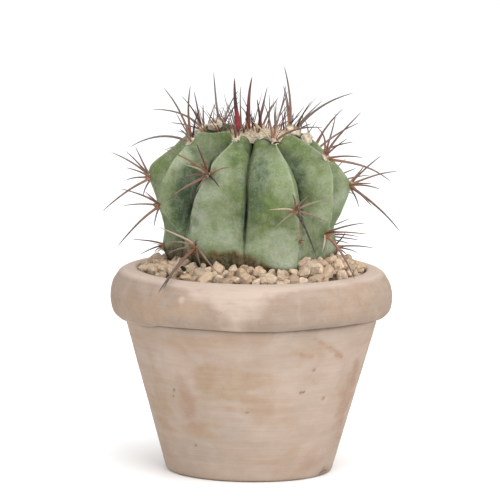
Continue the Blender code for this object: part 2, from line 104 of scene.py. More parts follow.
# Areoles in view from the front as (rib, height, spines): each spine is its tip from the areole as (to the
# right, upwards, towards the viewer), its colours and, where it arches, its bow
AREOLES = [
    ("left", 111, [(-15, 3.5, -4, "brown"), (-10.5, -4, 8, "brown"), (-4, -3, -12, "tan")]),
    ("left", 145, [(-11, 12.5, 6, "grey"), (-18.5, 12, -4, "brown"), (-6.5, 15, -10, "brown"),
        (-10.5, 4, 14, "tan"), (-22.5, -18, 4, "brown"), (-2.5, -10, -12, "grey"),
        (-11.5, -2, -15, "brown")]),
    ("left_front", 134, [(-5.5, 6.5, 12, "tan"), (-18, 8, 6, "brown"), (-17, -0.5, -6, "tan"),
        (-19, -21, 9, "brown"), (-1, -11, 12, "grey"), (-3, 3, 21, "brown")]),
    ("left_front", 166, [(-29.5, -4, 6, "grey", 0.15), (-13.2, 25.8, 4, "brown"), (-7, 13.5, -4, "tan"),
        (0, 27, 3, "brown"), (4.5, 15, 6, "dark"), (-5, 5, 16, "tan")]),
    ("front_left", 115, [(-17.5, 10.5, 12, "cream"), (-13.5, 3, 14, "tan"), (-13, -3, 16, "tan"),
        (-17, -22.2, 25, "brown"), (-14.5, -20.2, 25, "brown"), (11, -11, 18, "tan"),
        (4, -10, 17, "brown"), (2, 4, 21, "brown")]),
    ("front_left", 153.2, [(-5, 14.5, 12, "red"), (5, 9, 17, "dark"), (-20.5, 11.5, 15, "orange"),
        (-11.5, 4, 20, "cream"), (12, 3, 15, "orange"), (-13.5, -3.5, 17, "brown"),
        (-19, -14, 16, "brown"), (6.5, -7, 20, "dark"), (-5, -9.5, 15, "grey"), (-2, 1, 29, "brown")]),
    ("front_right", 168.3, [(24, 6.5, 9, "brown", 0.12), (-7, 0, 16, "dark"), (4, -2, 18, "dark"),
        (-5, 18, 5, "brown"), (-11.5, 10, 8, "cream"), (1, 20, -4, "grey"), (6.5, 24.5, 2, "brown")]),
    ("front_right", 136, [(16.5, 6, 9, "cream"), (7.5, 8.5, 15, "tan"), (-2.5, 8, 16, "brown"),
        (-14, 0, 13, "cream"), (-11.5, -9.5, 13, "tan"), (14, -5.5, 13, "tan"), (9.5, -22, 15, "dark"),
        (1, -1, 28, "red")]),
    ("front_right", 119.5, [(-2, 1, 3, "orange"), (2.2, 0.6, 3, "orange")]),
    ("right_front", 121.5, [(18, 6, 8, "grey"), (20, 0.5, 2, "tan"), (-3, -9, 14, "cream"),
        (13, -22, 24, "brown"), (6, 1, 18, "red")]),
    ("right_front", 159.5, [(-5.5, 15, 9, "brown", 0.15), (4.5, 22, -3, "grey"), (17, 22.5, 2, "brown"),
        (10, 9, 11, "brown"), (32, -12, 6, "brown", 0.1), (18, -0.5, 14, "brown")]),
    ("right", 111, [(18.5, 0.5, -4, "grey"), (10, -2, 6, "brown"), (3.5, 8, 10, "grey"),
        (5, -3, -12, "tan")]),
    ("right", 143, [(14, 14.5, 6, "brown"), (22.5, 7, -5, "brown"), (9.5, 0, 15, "tan"),
        (24, -23.5, 4, "brown"), (10, -11.5, 9, "brown"), (3.5, -11.5, -8, "grey"), (6, 10, -12, "brown"),
        (14, -2, -17, "brown")]),
    ("left", 170, [(-25, 8.5, -3, "grey", 0.14), (-10.5, 15.5, -2, "dark"), (-16, 2, 3, "grey")]),
    ("left_back", 169.6, [(-3.5, 26.8, -3, "grey"), (9, 18, -6, "grey"), (9.5, 12, 4, "grey")]),
    ("front_left", 169.2, [(-4.5, 17, 4, "grey"), (4.5, 8, 6, "tan"), (-2, 7, 12, "red")]),
    ("right", 169.8, [(8, 14.5, 4, "dark"), (13.5, 15, -3, "tan"), (28.5, 18.8, -2, "grey", 0.1),
        (8, 3, 8, "dark")]),
    ("right_back", 169.4, [(-4, 30.8, -3, "brown"), (-4, 20.5, 2, "brown"), (1, 7, -8, "brown")]),
]

# Areoles at the back as heights on a rib, and the ones that have healed to a scar
HIDDEN_AREOLES = {"right_back": (136, 155, 112), "back": (144, 112, 163), "left_back": (137, 161, 113)}
AREOLES += [(rib, height, []) for rib, heights in HIDDEN_AREOLES.items() for height in heights]
SCARS = [("front_right", 119.5)]

# Spines that stand round the middle of the crown: the root as across, towards the front, height, the tip
# from there as across, up, towards the front, then colours and the radius at the root
CROWN_SPINES = [
    (-7.4, 6, 172.4, -2.3, 24.2, 0, "young", 1.55), (-3.0, 4, 172.8, 1.9, 24.2, 0, "maroon", 1.45),
    (3.7, 5, 171.3, -2.2, 14.9, 0, "young", 1.1), (-6.0, 0, 171.5, -0.5, 20.5, -4, "grey", 0.45),
    (9.2, 6, 168.0, 6.6, 25.3, -6, "brown", 0.5), (7.2, -2, 168.5, 0.2, 19.5, -4, "grey", 0.4),
    (10.7, -12, 171.8, -1.2, 12.9, -1, "grey", 0.28), (1.2, -6, 172.4, -7.6, 15.1, 6, "dark", 0.33),
    (-0.3, -8, 171.2, 4.3, 16.2, -3, "grey", 0.33), (1.6, -7, 171.3, 3.9, 13.3, -2, "dark", 0.36),
    (-9.2, -2, 170.8, -5.7, 16.9, -4, "brown", 0.36), (-14.2, -12, 170.0, 7.3, 17.5, -1, "grey", 0.28),
    (-10.7, 5, 170.1, -2.0, 5.2, 2, "brown", 0.4), (-4.7, 9, 170.2, -0.5, 3.1, 1, "dark", 0.5),
    (-17.2, -10, 173.2, 2.9, 8.4, -1, "grey", 0.25), (-17.7, -10, 173.2, 1.9, 7.4, -1, "tan", 0.22),
    (-16.3, -12, 173.0, 3.4, 7.9, -1, "grey", 0.22), (-24.1, -4, 171.8, -3.1, 8.2, -2, "grey", 0.3),
    (-23.6, -3, 171.4, -3.0, 6.6, 1, "brown", 0.3), (-24.6, -2, 171.1, -6.0, 9.3, 3, "brown", 0.28),
    (-24.6, -1, 170.7, -8.4, 6.4, 4, "grey", 0.26), (-24.1, 0, 170.3, -8.4, 4.4, 4, "brown", 0.26),
    (-23.1, 1, 170.4, -8.4, 0.9, 4, "grey", 0.25), (-26.1, -5, 169.2, -3.1, 10.7, -2, "tan", 0.22),
    (-20.2, -6, 173.1, 0.9, 9.4, -1, "tan", 0.26), (-18.7, -6, 173.2, 0.9, 6.7, 2, "tan", 0.25),
    (15.1, -6, 170.1, -1.1, 8.6, 1, "dark", 0.45), (16.1, -8, 170.9, -1.1, 11.4, -1, "brown", 0.3),
    (17.6, -8, 171.9, -3.2, 19.9, -1, "brown", 0.4), (18.6, -10, 171.7, 12.8, 14.2, -4, "tan", 0.3),
    (23.1, -6, 169.7, 1.4, 8.9, -1, "grey", 0.33), (26.1, -4, 169.0, 5.4, 6.0, -1, "grey", 0.3),
    (17.1, -2, 170.1, -2.0, 4.8, 3, "orange", 0.35), (19.1, -2, 170.1, 1.9, 4.9, 3, "orange", 0.32),
    (-1.7, 7, 169.5, -2.6, 8.4, 4, "orange", 0.5), (0.2, 6, 169.9, -2.1, 9.8, 3, "young", 0.5),
    (1.7, 8, 168.6, 2.3, 9.7, 2, "red", 0.55), (-1.3, 2, 170.3, 1.9, 9.2, 2, "young", 0.5),
    (-3.7, 8, 170.5, -3.0, 6.2, 2, "red", 0.45), (4.7, 0, 169.7, 3.4, 8.9, -1, "red", 0.38),
    (2.7, 8, 169.6, -3.1, 7.4, 4, "orange", 0.4),
]

# Felt of the areoles, and larger tufts of the crown as ((across, towards the front, height), half sizes)
FELT = (0.74, 0.65, 0.52)
OLD_FELT = (0.46, 0.29, 0.17)
CROWN_TUFTS = [
    ((-18.5, -9.0, 171.2), (5.8, 3.0, 3.2)),
    ((-27.5, 7, 167.6), (2.6, 2.6, 2.2)),
    ((19, -5, 168.8), (8.0, 2.6, 4.0)),
    ((26, 0, 165.4), (3.6, 3.4, 2.8)),
    ((7, 17.5, 168.2), (5.0, 1.5, 2.8)),
    ((0, -17, 168.6), (7.0, 2.4, 4.0)),
]

# How far the felt cushion of the crown reaches, as (azimuth, radius)
CUSHION_EDGE = [
    (-180, 17), (-130, 15), (-90, 11.5), (-60, 12), (-30, 14.5), (0, 13), (30, 16), (90, 18), (180, 17),
]

# Colours of a spine from its root to its tip, linear
SPINE_COLOURS = {
    "brown": [(0.44, 0.200, 0.105), (0.265, 0.125, 0.082), (0.145, 0.092, 0.076), (0.050, 0.037, 0.037)],
    "grey": [(0.36, 0.175, 0.105), (0.180, 0.122, 0.100), (0.140, 0.116, 0.108), (0.062, 0.056, 0.058)],
    "dark": [(0.20, 0.075, 0.046), (0.042, 0.024, 0.021), (0.030, 0.022, 0.021), (0.024, 0.021, 0.021)],
    "red": [(0.40, 0.080, 0.045), (0.230, 0.050, 0.034), (0.110, 0.042, 0.038), (0.060, 0.034, 0.032)],
    "young": [(0.33, 0.018, 0.026), (0.24, 0.012, 0.020), (0.036, 0.010, 0.011), (0.100, 0.050, 0.045)],
    "maroon": [(0.26, 0.040, 0.032), (0.080, 0.016, 0.016), (0.160, 0.040, 0.038), (0.090, 0.044, 0.040)],
    "orange": [(0.34, 0.150, 0.065), (0.290, 0.160, 0.085), (0.240, 0.150, 0.085), (0.140, 0.095, 0.062)],
    "tan": [(0.30, 0.160, 0.095), (0.270, 0.180, 0.120), (0.210, 0.155, 0.115), (0.125, 0.095, 0.075)],
    "cream": [(0.36, 0.230, 0.150), (0.420, 0.335, 0.235), (0.400, 0.325, 0.235), (0.240, 0.190, 0.145)],
}


def between(table, where):
    """The other columns of a table, interpolated at one value or many of its first."""
    first, *others = np.transpose(table)
    return [np.interp(where, first, other) for other in others]


def outward(azimuth):
    """Level direction away from the axis."""
    turn = math.radians(azimuth)
    return Vector((math.sin(turn), -math.cos(turn), 0.0))


def as_polar(radius, height):
    """(elevation, distance) seen from the core of the stem."""
    rise = height - CORE_HEIGHT
    return math.degrees(math.atan2(rise, radius)), math.hypot(radius, rise)


def curved(points, step):
    """Points along a smooth line through the given ones, about a step apart."""
    line = np.array(points, float)
    ends = [2 * line[0] - line[1], *line, 2 * line[-1] - line[-2]]
    out = []
    for a, b, c, d in zip(ends, ends[1:], ends[2:], ends[3:]):
        count = max(1, round(float(np.linalg.norm(c - b)) / step))
        for t in np.arange(count) / count:
            out.append(0.5 * (2 * b + (c - a) * t + (2 * a - 5 * b + 4 * c - d) * t * t
                              + (3 * b - a - 3 * c + d) * t ** 3))
    return out + [line[-1]]


def straight(points, step):
    """Points along the given corners, at most a step apart."""
    out = []
    line = np.array(points, float)
    for a, b in zip(line, line[1:]):
        count = max(1, math.ceil(float(np.linalg.norm(b - a)) / step))
        out += [a + (b - a) * t for t in np.arange(count) / count]
    return out + [line[-1]]


def fractal(point, scale, octaves=4):
    """Layered noise from about -1 to 1 at a point in mm, its largest features about a scale across."""
    return noise.fractal(Vector(point) / scale, 1.0, 2.0, octaves)


def linked(name, data):
    """A new object in the scene."""
    item = bpy.data.objects.new(name, data)
    bpy.context.scene.collection.objects.link(item)
    return item


def make_piece(name, points, faces, material, tints=None, smooth=True):
    """A mesh piece from points in mm, that rides on the body."""
    mesh = bpy.data.meshes.new(name)
    mesh.from_pydata((np.asarray(points, float) * MM).tolist(), [], faces)
    mesh.materials.append(material)
    if smooth:
        mesh.shade_smooth()
    if tints is not None:
        layer = mesh.color_attributes.new(name="tint", type="FLOAT_COLOR", domain="POINT")
        values = np.ones((len(points), 4), np.float32)
        values[:, :3] = tints
        layer.data.foreach_set("color", values.ravel())
    piece = linked(name, mesh)
    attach(piece, "root")
    return piece


def grid_faces(rows, columns):
    """Quads of a grid whose columns close on themselves."""
    return [(low + here, low + columns + here, low + columns + after, low + after)
            for low in range(0, (rows - 1) * columns, columns)
            for here, after in zip(range(columns), [*range(1, columns), 0])]


def flipped(faces):
    """The same faces, seen from their other side."""
    return [tuple(reversed(face)) for face in faces]


def limited(share):
    return min(1.0, max(0.0, share))


def blend(a, b, share):
    """A colour that goes from one to another as the share goes from 0 to 1."""
    share = limited(share)
    return tuple(x + (y - x) * share for x, y in zip(a, b))


def shaded(colour, light):
    return tuple(channel * light for channel in colour)


class Parts:
    """Collects many small meshes into one piece."""

    def __init__(self):
        self.points, self.faces, self.tints = [], [], []

    def add(self, points, faces, tints):
        first = len(self.points)
        self.points.extend(points)
        self.faces.extend(tuple(first + i for i in face) for face in faces)
        self.tints.extend(tints)

    def piece(self, name, slot, material, smooth=True):
        return make_piece(name, self.points, self.faces, material, self.tints, smooth)


# Materials


class Nodes:
    """Short calls for the nodes of one material."""

    def __init__(self, name):
        self.material = bpy.data.materials.new(name)
        self.material.use_nodes = True
        self.tree = self.material.node_tree
        self.shader = self.tree.nodes["Principled BSDF"]
        self.place = self.add("ShaderNodeTexCoord").outputs["Object"]

    def add(self, kind, inputs=(), **settings):
        node = self.tree.nodes.new(kind)
        for key, value in settings.items():
            setattr(node, key, value)
        for key, value in dict(inputs).items():
            self.put(node.inputs[key], value)
        return node

    def put(self, socket, value):
        """Link an output to a socket, or set the socket to a number, vector or colour."""
        if isinstance(value, bpy.types.NodeSocket):
            self.tree.links.new(value, socket)
        else:
            socket.default_value = (*value, 1.0) if socket.type == "RGBA" else value

    def tint(self):
        return self.add("ShaderNodeAttribute", attribute_name="tint").outputs["Color"]

    def scaled(self, scale, vector=None):
        inputs = {"Vector": vector or self.place, "Scale": scale}
        return self.add("ShaderNodeMapping", inputs).outputs["Vector"]

    def noise(self, scale, detail=4.0, rough=0.6, vector=None, distortion=0.0):
        inputs = {"Vector": vector or self.place, "Scale": scale, "Detail": detail, "Roughness": rough,
                  "Distortion": distortion}
        return self.add("ShaderNodeTexNoise", inputs).outputs["Fac"]

    def cells(self, scale, feature="F1", vector=None):
        inputs = {"Vector": vector or self.place, "Scale": scale}
        return self.add("ShaderNodeTexVoronoi", inputs, feature=feature).outputs["Distance"]

    def steps(self, value, low, high, to_low=0.0, to_high=1.0):
        inputs = {"Value": value, "From Min": low, "From Max": high, "To Min": to_low, "To Max": to_high}
        return self.add("ShaderNodeMapRange", inputs).outputs["Result"]

    def math(self, operation, a, b):
        return self.add("ShaderNodeMath", {0: a, 1: b}, operation=operation).outputs["Value"]

    def mix(self, share, a, b, blend_type="MIX"):
        node = self.add("ShaderNodeMix", data_type="RGBA", blend_type=blend_type)
        self.put(node.inputs["Factor"], share)
        first, second = [socket for socket in node.inputs if socket.type == "RGBA"]
        self.put(first, a)
        self.put(second, b)
        return next(socket for socket in node.outputs if socket.type == "RGBA")

    def stained(self, colour, stains):
        """A colour with stains as (value, low, high, share, colour, blend type): each grows to its share
        while its value rises from low to high."""
        for value, low, high, share, stain, blend_type in stains:
            colour = self.mix(self.steps(value, low, high, 0.0, share), colour, stain, blend_type)
        return colour

    def finish(self, colour, roughness, layers=(), depth=0.0, strength=1.0, specular=0.5, sheen=0.0):
        """The material with this colour, a roughness as for steps, and the relief of weighted layers."""
        inputs = {"Base Color": colour, "Roughness": self.steps(*roughness), "Specular IOR Level": specular,
                  "Sheen Weight": sheen}
        if layers:
            parts = [self.math("MULTIPLY", value, weight) for value, weight in layers]
            height = parts[0]
            for part in parts[1:]:
                height = self.math("ADD", height, part)
            bump = self.add("ShaderNodeBump", {"Height": height, "Distance": depth, "Strength": strength})
            inputs["Normal"] = bump.outputs["Normal"]
        for key, value in inputs.items():
            self.put(self.shader.inputs[key], value)
        return self.material


def terracotta_material():
    n = Nodes("terracotta")
    lines = n.noise(1.0, 5.0, 0.65, n.scaled((30.0, 30.0, 1300.0)), 0.3)
    broad = n.noise(1.0, 3.0, 0.5, n.scaled((16.0, 16.0, 330.0)))
    grain = n.noise(2400.0, 3.0, 0.7)
    cloud = n.noise(120.0, 5.0, 0.65, distortion=0.5)
    pits = n.steps(n.cells(520.0), 0.05, 0.13, 1.0, 0.0)
    pits = n.math("MULTIPLY", pits, n.steps(n.noise(150.0, 2.0), 0.62, 0.68))
    colour = n.stained(n.tint(), [
        (lines, 0.32, 0.70, 0.48, (0.86, 0.83, 0.79), "MULTIPLY"),
        (broad, 0.38, 0.68, 0.28, (0.88, 0.84, 0.79), "MULTIPLY"),
        (cloud, 0.45, 0.75, 0.30, (0.46, 0.39, 0.33), "MIX"),
        (grain, 0.35, 0.70, 0.30, (0.84, 0.82, 0.80), "MULTIPLY"),
        (pits, 0.0, 1.0, 0.7, (0.13, 0.08, 0.05), "MIX"),
    ])
    relief = [(lines, 0.8), (grain, 0.22), (pits, -1.2)]
    return n.finish(colour, (grain, 0.2, 0.8, 0.82, 0.98), relief, 0.00028, 0.9, 0.2)


def skin_material():
    n = Nodes("cactus_skin")
    mottle = n.noise(170.0, 5.0, 0.65, distortion=0.6)
    fine = n.noise(850.0, 4.0, 0.65)
    streak = n.noise(1.0, 4.0, 0.6, n.scaled((300.0, 300.0, 90.0)))
    dots = n.steps(n.cells(560.0), 0.10, 0.26, 1.0, 0.0)
    bent = n.add("ShaderNodeTexNoise", {"Vector": n.place, "Scale": 260.0, "Detail": 3.0}).outputs["Color"]
    bent = n.scaled((0.006, 0.006, 0.006), bent)
    bent = n.add("ShaderNodeVectorMath", {0: n.place, 1: bent}).outputs["Vector"]
    veins = n.steps(n.cells(270.0, "DISTANCE_TO_EDGE", bent), 0.0, 0.14, 1.0, 0.0)
    veins = n.math("MULTIPLY", veins, n.steps(n.noise(90.0, 2.0), 0.42, 0.62, 0.0, 0.15))
    colour = n.stained(n.tint(), [
        (mottle, 0.38, 0.62, 0.75, (0.66, 0.80, 0.52), "MULTIPLY"),
        (streak, 0.45, 0.72, 0.36, (0.27, 0.29, 0.20), "MIX"),
        (fine, 0.38, 0.68, 0.60, (0.62, 0.66, 0.60), "MULTIPLY"),
        (dots, 0.0, 1.0, 0.20, (0.34, 0.36, 0.25), "MIX"),
        (veins, 0.0, 1.0, 1.0, (0.31, 0.34, 0.23), "MIX"),
    ])
    relief = [(mottle, 0.6), (fine, 0.3), (dots, 0.08)]
    return n.finish(colour, (fine, 0.25, 0.75, 0.50, 0.70), relief, 0.0009, 0.8, 0.20)


def spine_material():
    n = Nodes("spine_horn")
    rings = n.noise(1600.0, 3.0, 0.6)
    colour = n.stained(n.tint(), [
        (rings, 0.35, 0.70, 0.55, (0.45, 0.38, 0.36), "MULTIPLY"),
        (n.noise(700.0, 3.0), 0.52, 0.75, 0.30, (0.26, 0.22, 0.20), "MIX"),
    ])
    return n.finish(colour, (rings, 0.3, 0.7, 0.38, 0.58), [(rings, 1.0)], 0.00012, 0.6, 0.35)


def wool_material():
    n = Nodes("areole_wool")
    fine = n.noise(2200.0, 3.0, 0.7)
    colour = n.stained(n.tint(), [
        (n.noise(330.0, 3.0), 0.40, 0.72, 0.5, (0.78, 0.66, 0.52), "MULTIPLY"),
        (fine, 0.3, 0.7, 0.5, (0.84, 0.79, 0.72), "MULTIPLY"),
    ])
    return n.finish(colour, (fine, 0.3, 0.7, 0.88, 1.0), [(fine, 1.0)], 0.0004, 0.7, 0.15, sheen=0.15)


def pumice_material():
    n = Nodes("pumice")
    grain = n.noise(1100.0, 5.0, 0.7)
    pores = n.steps(n.cells(1300.0), 0.08, 0.30, 1.0, 0.0)
    colour = n.stained(n.tint(), [
        (n.noise(260.0, 3.0, 0.55), 0.38, 0.68, 0.6, (0.86, 0.76, 0.64), "MULTIPLY"),
        (grain, 0.38, 0.72, 0.6, (0.74, 0.66, 0.58), "MULTIPLY"),
        (pores, 0.0, 1.0, 0.45, (0.45, 0.36, 0.28), "MULTIPLY"),
    ])
    return n.finish(colour, (grain, 0.2, 0.8, 0.82, 0.98), [(grain, 1.0), (pores, -0.5)], 0.0006, 0.9, 0.2)


def soil_material():
    n = Nodes("potting_soil")
    crumb = n.noise(700.0, 6.0, 0.75)
    cells = n.cells(420.0)
    colour = n.mix(n.steps(crumb, 0.3, 0.7), (0.030, 0.020, 0.014), (0.095, 0.065, 0.042))
    colour = n.mix(n.steps(cells, 0.0, 0.25, 0.5, 0.0), colour, (0.20, 0.16, 0.11))
    return n.finish(colour, (crumb, 0.2, 0.8, 0.85, 1.0), [(crumb, 1.0), (cells, 1.0)], 0.0015, 0.9)


def floor_material():
    n = Nodes("studio_floor")
    soft = n.noise(6.0, 3.0)
    return n.finish(n.mix(soft, (0.92, 0.92, 0.92), (0.95, 0.95, 0.95)), (soft, 0.2, 0.8, 0.55, 0.65))


# Pot

CLAY = (0.375, 0.281, 0.221)
PALE_CLAY = (0.455, 0.366, 0.309)
ROLL_SHADE = (0.80, 0.78, 0.76)
TAN_CLAY = (0.338, 0.240, 0.163)
GREY_CLAY = (0.360, 0.292, 0.240)
PINK_CLAY = (0.325, 0.215, 0.158)
# Dirt inside the pot and in its pits, also used as painted shade in the crease under the roll
DIRT_AND_CREASE_SHADE = (0.085, 0.050, 0.033)
RUST = (0.26, 0.12, 0.055)

# Marks on the clay as (azimuth, height, half width, half height, colour, share, raggedness)
CLAY_PATCHES = [
    (-32, 70, 17, 5, TAN_CLAY, 0.55, 0.5), (-4, 75, 20, 4, TAN_CLAY, 0.35, 0.5),
    (30, 68, 13, 7, TAN_CLAY, 0.40, 0.6), (-44, 60, 11, 7, PALE_CLAY, 0.45, 0.5),
    (-22, 54, 7, 6.5, TAN_CLAY, 0.90, 0.6), (-3, 54, 9, 5, TAN_CLAY, 0.75, 0.7),
    (-8, 46, 9, 5.5, TAN_CLAY, 0.70, 0.7), (-36, 41, 6, 11, PINK_CLAY, 0.80, 0.6),
    (8, 39, 12, 4, TAN_CLAY, 0.65, 0.6), (-11, 49, 18, 9, TAN_CLAY, 0.60, 0.8),
    (-34, 15, 15, 9, GREY_CLAY, 0.70, 0.5), (-31, 26, 11, 3.5, TAN_CLAY, 0.85, 0.7),
    (-60, 34, 9, 9, TAN_CLAY, 0.70, 0.6), (66, 40, 8, 19, PINK_CLAY, 0.90, 0.5),
    (44, 8, 10, 5, PINK_CLAY, 0.45, 0.7), (44, 54, 8, 12, PALE_CLAY, 0.30, 0.6),
    (21, 44, 9, 9, PALE_CLAY, 0.30, 0.7), (-58, 62, 2.0, 13, TAN_CLAY, 0.35, 0.5),
    (-48, 60, 1.4, 10, GREY_CLAY, 0.40, 0.4), (120, 50, 16, 12, TAN_CLAY, 0.50, 0.7),
    (160, 30, 12, 10, PALE_CLAY, 0.50, 0.7), (-150, 55, 14, 9, TAN_CLAY, 0.50, 0.7),
    (-115, 25, 12, 8, PINK_CLAY, 0.50, 0.7), (-170, 60, 15, 8, GREY_CLAY, 0.60, 0.6),
    (90, 20, 10, 8, TAN_CLAY, 0.50, 0.6), (-26, 89, 9, 5, TAN_CLAY, 0.75, 0.4),
    (-50, 85, 17, 6, TAN_CLAY, 0.65, 0.6), (-41.5, 94.5, 3.5, 3.0, TAN_CLAY, 0.60, 0.4),
    (-29.5, 93.5, 1.8, 2.2, PALE_CLAY, 0.9, 0.3), (54, 96, 12, 3.0, PINK_CLAY, 0.45, 0.5),
    (140, 90, 20, 6, PALE_CLAY, 0.60, 0.6), (-130, 92, 18, 6, PINK_CLAY, 0.50, 0.6),
    (45, 90, 22, 9, TAN_CLAY, 0.30, 0.4),
]

# Scratches as (azimuth, height) to (azimuth, height), and pits as (azimuth, height, radius, colour)
SCRATCHES = [
    ((30.5, 74.0), (41.0, 67.5)), ((40.5, 68.5), (48.0, 64.0)), ((24.0, 66.2), (31.0, 64.8)),
    ((44.5, 64.6), (49.5, 62.8)),
]
SCRATCH_REACH = 1.4
PITS = [
    (27.3, 46.5, 0.9, DIRT_AND_CREASE_SHADE), (29.0, 46.7, 0.7, DIRT_AND_CREASE_SHADE), (42.4, 42.4, 1.2, RUST), (42.9, 42.2, 0.7, DIRT_AND_CREASE_SHADE),
    (32.7, 57.8, 0.9, DIRT_AND_CREASE_SHADE), (-43.8, 45.4, 0.9, DIRT_AND_CREASE_SHADE), (-45.1, 42.1, 0.8, DIRT_AND_CREASE_SHADE), (-1.5, 36.5, 0.7, DIRT_AND_CREASE_SHADE),
    (-34.6, 17.9, 0.7, DIRT_AND_CREASE_SHADE), (62.0, 3.8, 1.3, RUST), (118.0, 60.0, 0.9, DIRT_AND_CREASE_SHADE), (-160.0, 40.0, 0.8, DIRT_AND_CREASE_SHADE),
    (170.0, 22.0, 0.9, DIRT_AND_CREASE_SHADE), (-100.0, 66.0, 0.8, DIRT_AND_CREASE_SHADE),
]

# How much higher than its outline the underside of the roll sits, as (azimuth, lift)
ROLL_LIFT = [
    (-180, 0.6), (-110, 0.2), (-72, -1.1), (-60, -0.9), (-48, -0.3), (-44, 0.7), (-32, 1.0), (-18, 1.4),
    (-3, 0.9), (10, 0.9), (29, 1.8), (53, 1.8), (75, 0.5), (110, 0.5), (180, 0.6),
]

# Spacing of the outline's points, and where the wall is outside, the roll's lower half and the worn base
LIP_STEP, SIDE_STEP, BOTTOM_STEP = 0.7, 0.95, 4.0
OUTSIDE_RADIUS, RIM_HEIGHT = 41.0, 95.0
ROLL_MIDDLE = 84.0
ROLL_RADIUS, ROLL_FOOT = 56.5, 78.0
BASE_HEIGHT = 8.0

# The chip at the base: azimuth and half width in degrees, height, half height and depth
CHIP_AZIMUTH, CHIP_WIDTH, CHIP_HEIGHT, CHIP_SPAN, CHIP_DEPTH = 66.0, 8.0, 1.0, 1.9, 2.0

# Left and right edge of the pale, dry patch on the front of the roll, as (height, x)
BLEACHED_LEFT = [(82, -14), (88, -20), (92.5, -24), (93.5, -34), (98, -38), (102, -48)]
BLEACHED_RIGHT = [(82, 0), (90, 7), (95, 16.5), (99, 24), (102, 40)]


def pot_outline():
    """(radius, height, wave) in order round the wall; wave is how much the uneven roll moves the place."""
    outer = [(r, z, limited((r - 60) / 5)) for r, z in curved(LIP_LINE, LIP_STEP)]
    side = [(r, z, max(0.0, (z - 74) / 4.2)) for r, z in straight(SIDE_LINE, SIDE_STEP)]
    bottom = [(r, z, 0.0) for r, z in straight(BOTTOM_LINE, BOTTOM_STEP)]
    return outer + side + bottom[1:]


def pot_shape(radius, height, azimuth, wave):
    """The pot's outline at an azimuth with the unevenness of handwork."""
    turn = math.radians(azimuth)
    spot = Vector((math.sin(turn) * 60, -math.cos(turn) * 60, height))
    soft = fractal(spot + Vector((7, 3, 5)), 46, 3)
    lines = fractal((spot.x * 0.12, spot.y * 0.12, height * 2.4), 5.0, 4)
    outside = radius > OUTSIDE_RADIUS or height > RIM_HEIGHT
    radius += outside * (0.22 * soft + 0.08 * lines)
    azimuth = turned(azimuth, 0.0)
    if height < ROLL_MIDDLE and wave > 0:
        lift = between(ROLL_LIFT, azimuth)[0] + 0.15 * fractal(spot, 12, 3)
        height += wave * lift * limited((ROLL_MIDDLE - height) / 4.0)
    if height < BASE_HEIGHT and outside:
        chip = math.exp(-(((azimuth - CHIP_AZIMUTH) / CHIP_WIDTH) ** 2))
        chip *= math.exp(-(((height - CHIP_HEIGHT) / CHIP_SPAN) ** 2))
        radius -= chip * (CHIP_DEPTH + 1.2 * fractal(spot, 3, 3))
        radius += 0.25 * fractal(spot, 5, 3) * max(0.0, 1 - height / 3)
    return radius, height


def make_pot():
    outline = pot_outline()
    points = []
    tints = []
    for radius, height, wave in outline:
        for number in range(POT_MERIDIANS):
            azimuth = 360.0 * number / POT_MERIDIANS
            r, z = pot_shape(radius, height, azimuth, wave)
            side = outward(azimuth)
            points.append((side.x * r, side.y * r, z))
            tints.append(pot_tint(points[-1], radius, height))
    rows = len(outline)
    last = (rows - 1) * POT_MERIDIANS
    seam = [(last + here, here, after, last + after)
            for here, after in zip(range(POT_MERIDIANS), [*range(1, POT_MERIDIANS), 0])]
    faces = flipped(grid_faces(rows, POT_MERIDIANS) + seam)
    pot = make_piece("pot_body", points, faces, terracotta_material(), tints)
    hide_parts("pot")


def turned(azimuth, other):
    """Degrees from one azimuth to another, the short way."""
    return (azimuth - other + 180.0) % 360.0 - 180.0


def bleached(x, z, rag):
    """How much of the pale, dry patch on the front of the roll lies at a place (0 to 1)."""
    left = between(BLEACHED_LEFT, z)[0]
    right = between(BLEACHED_RIGHT, z)[0]
    return min((x - left) / 10, (right - x) / 10, 1.0) + 0.6 * rag


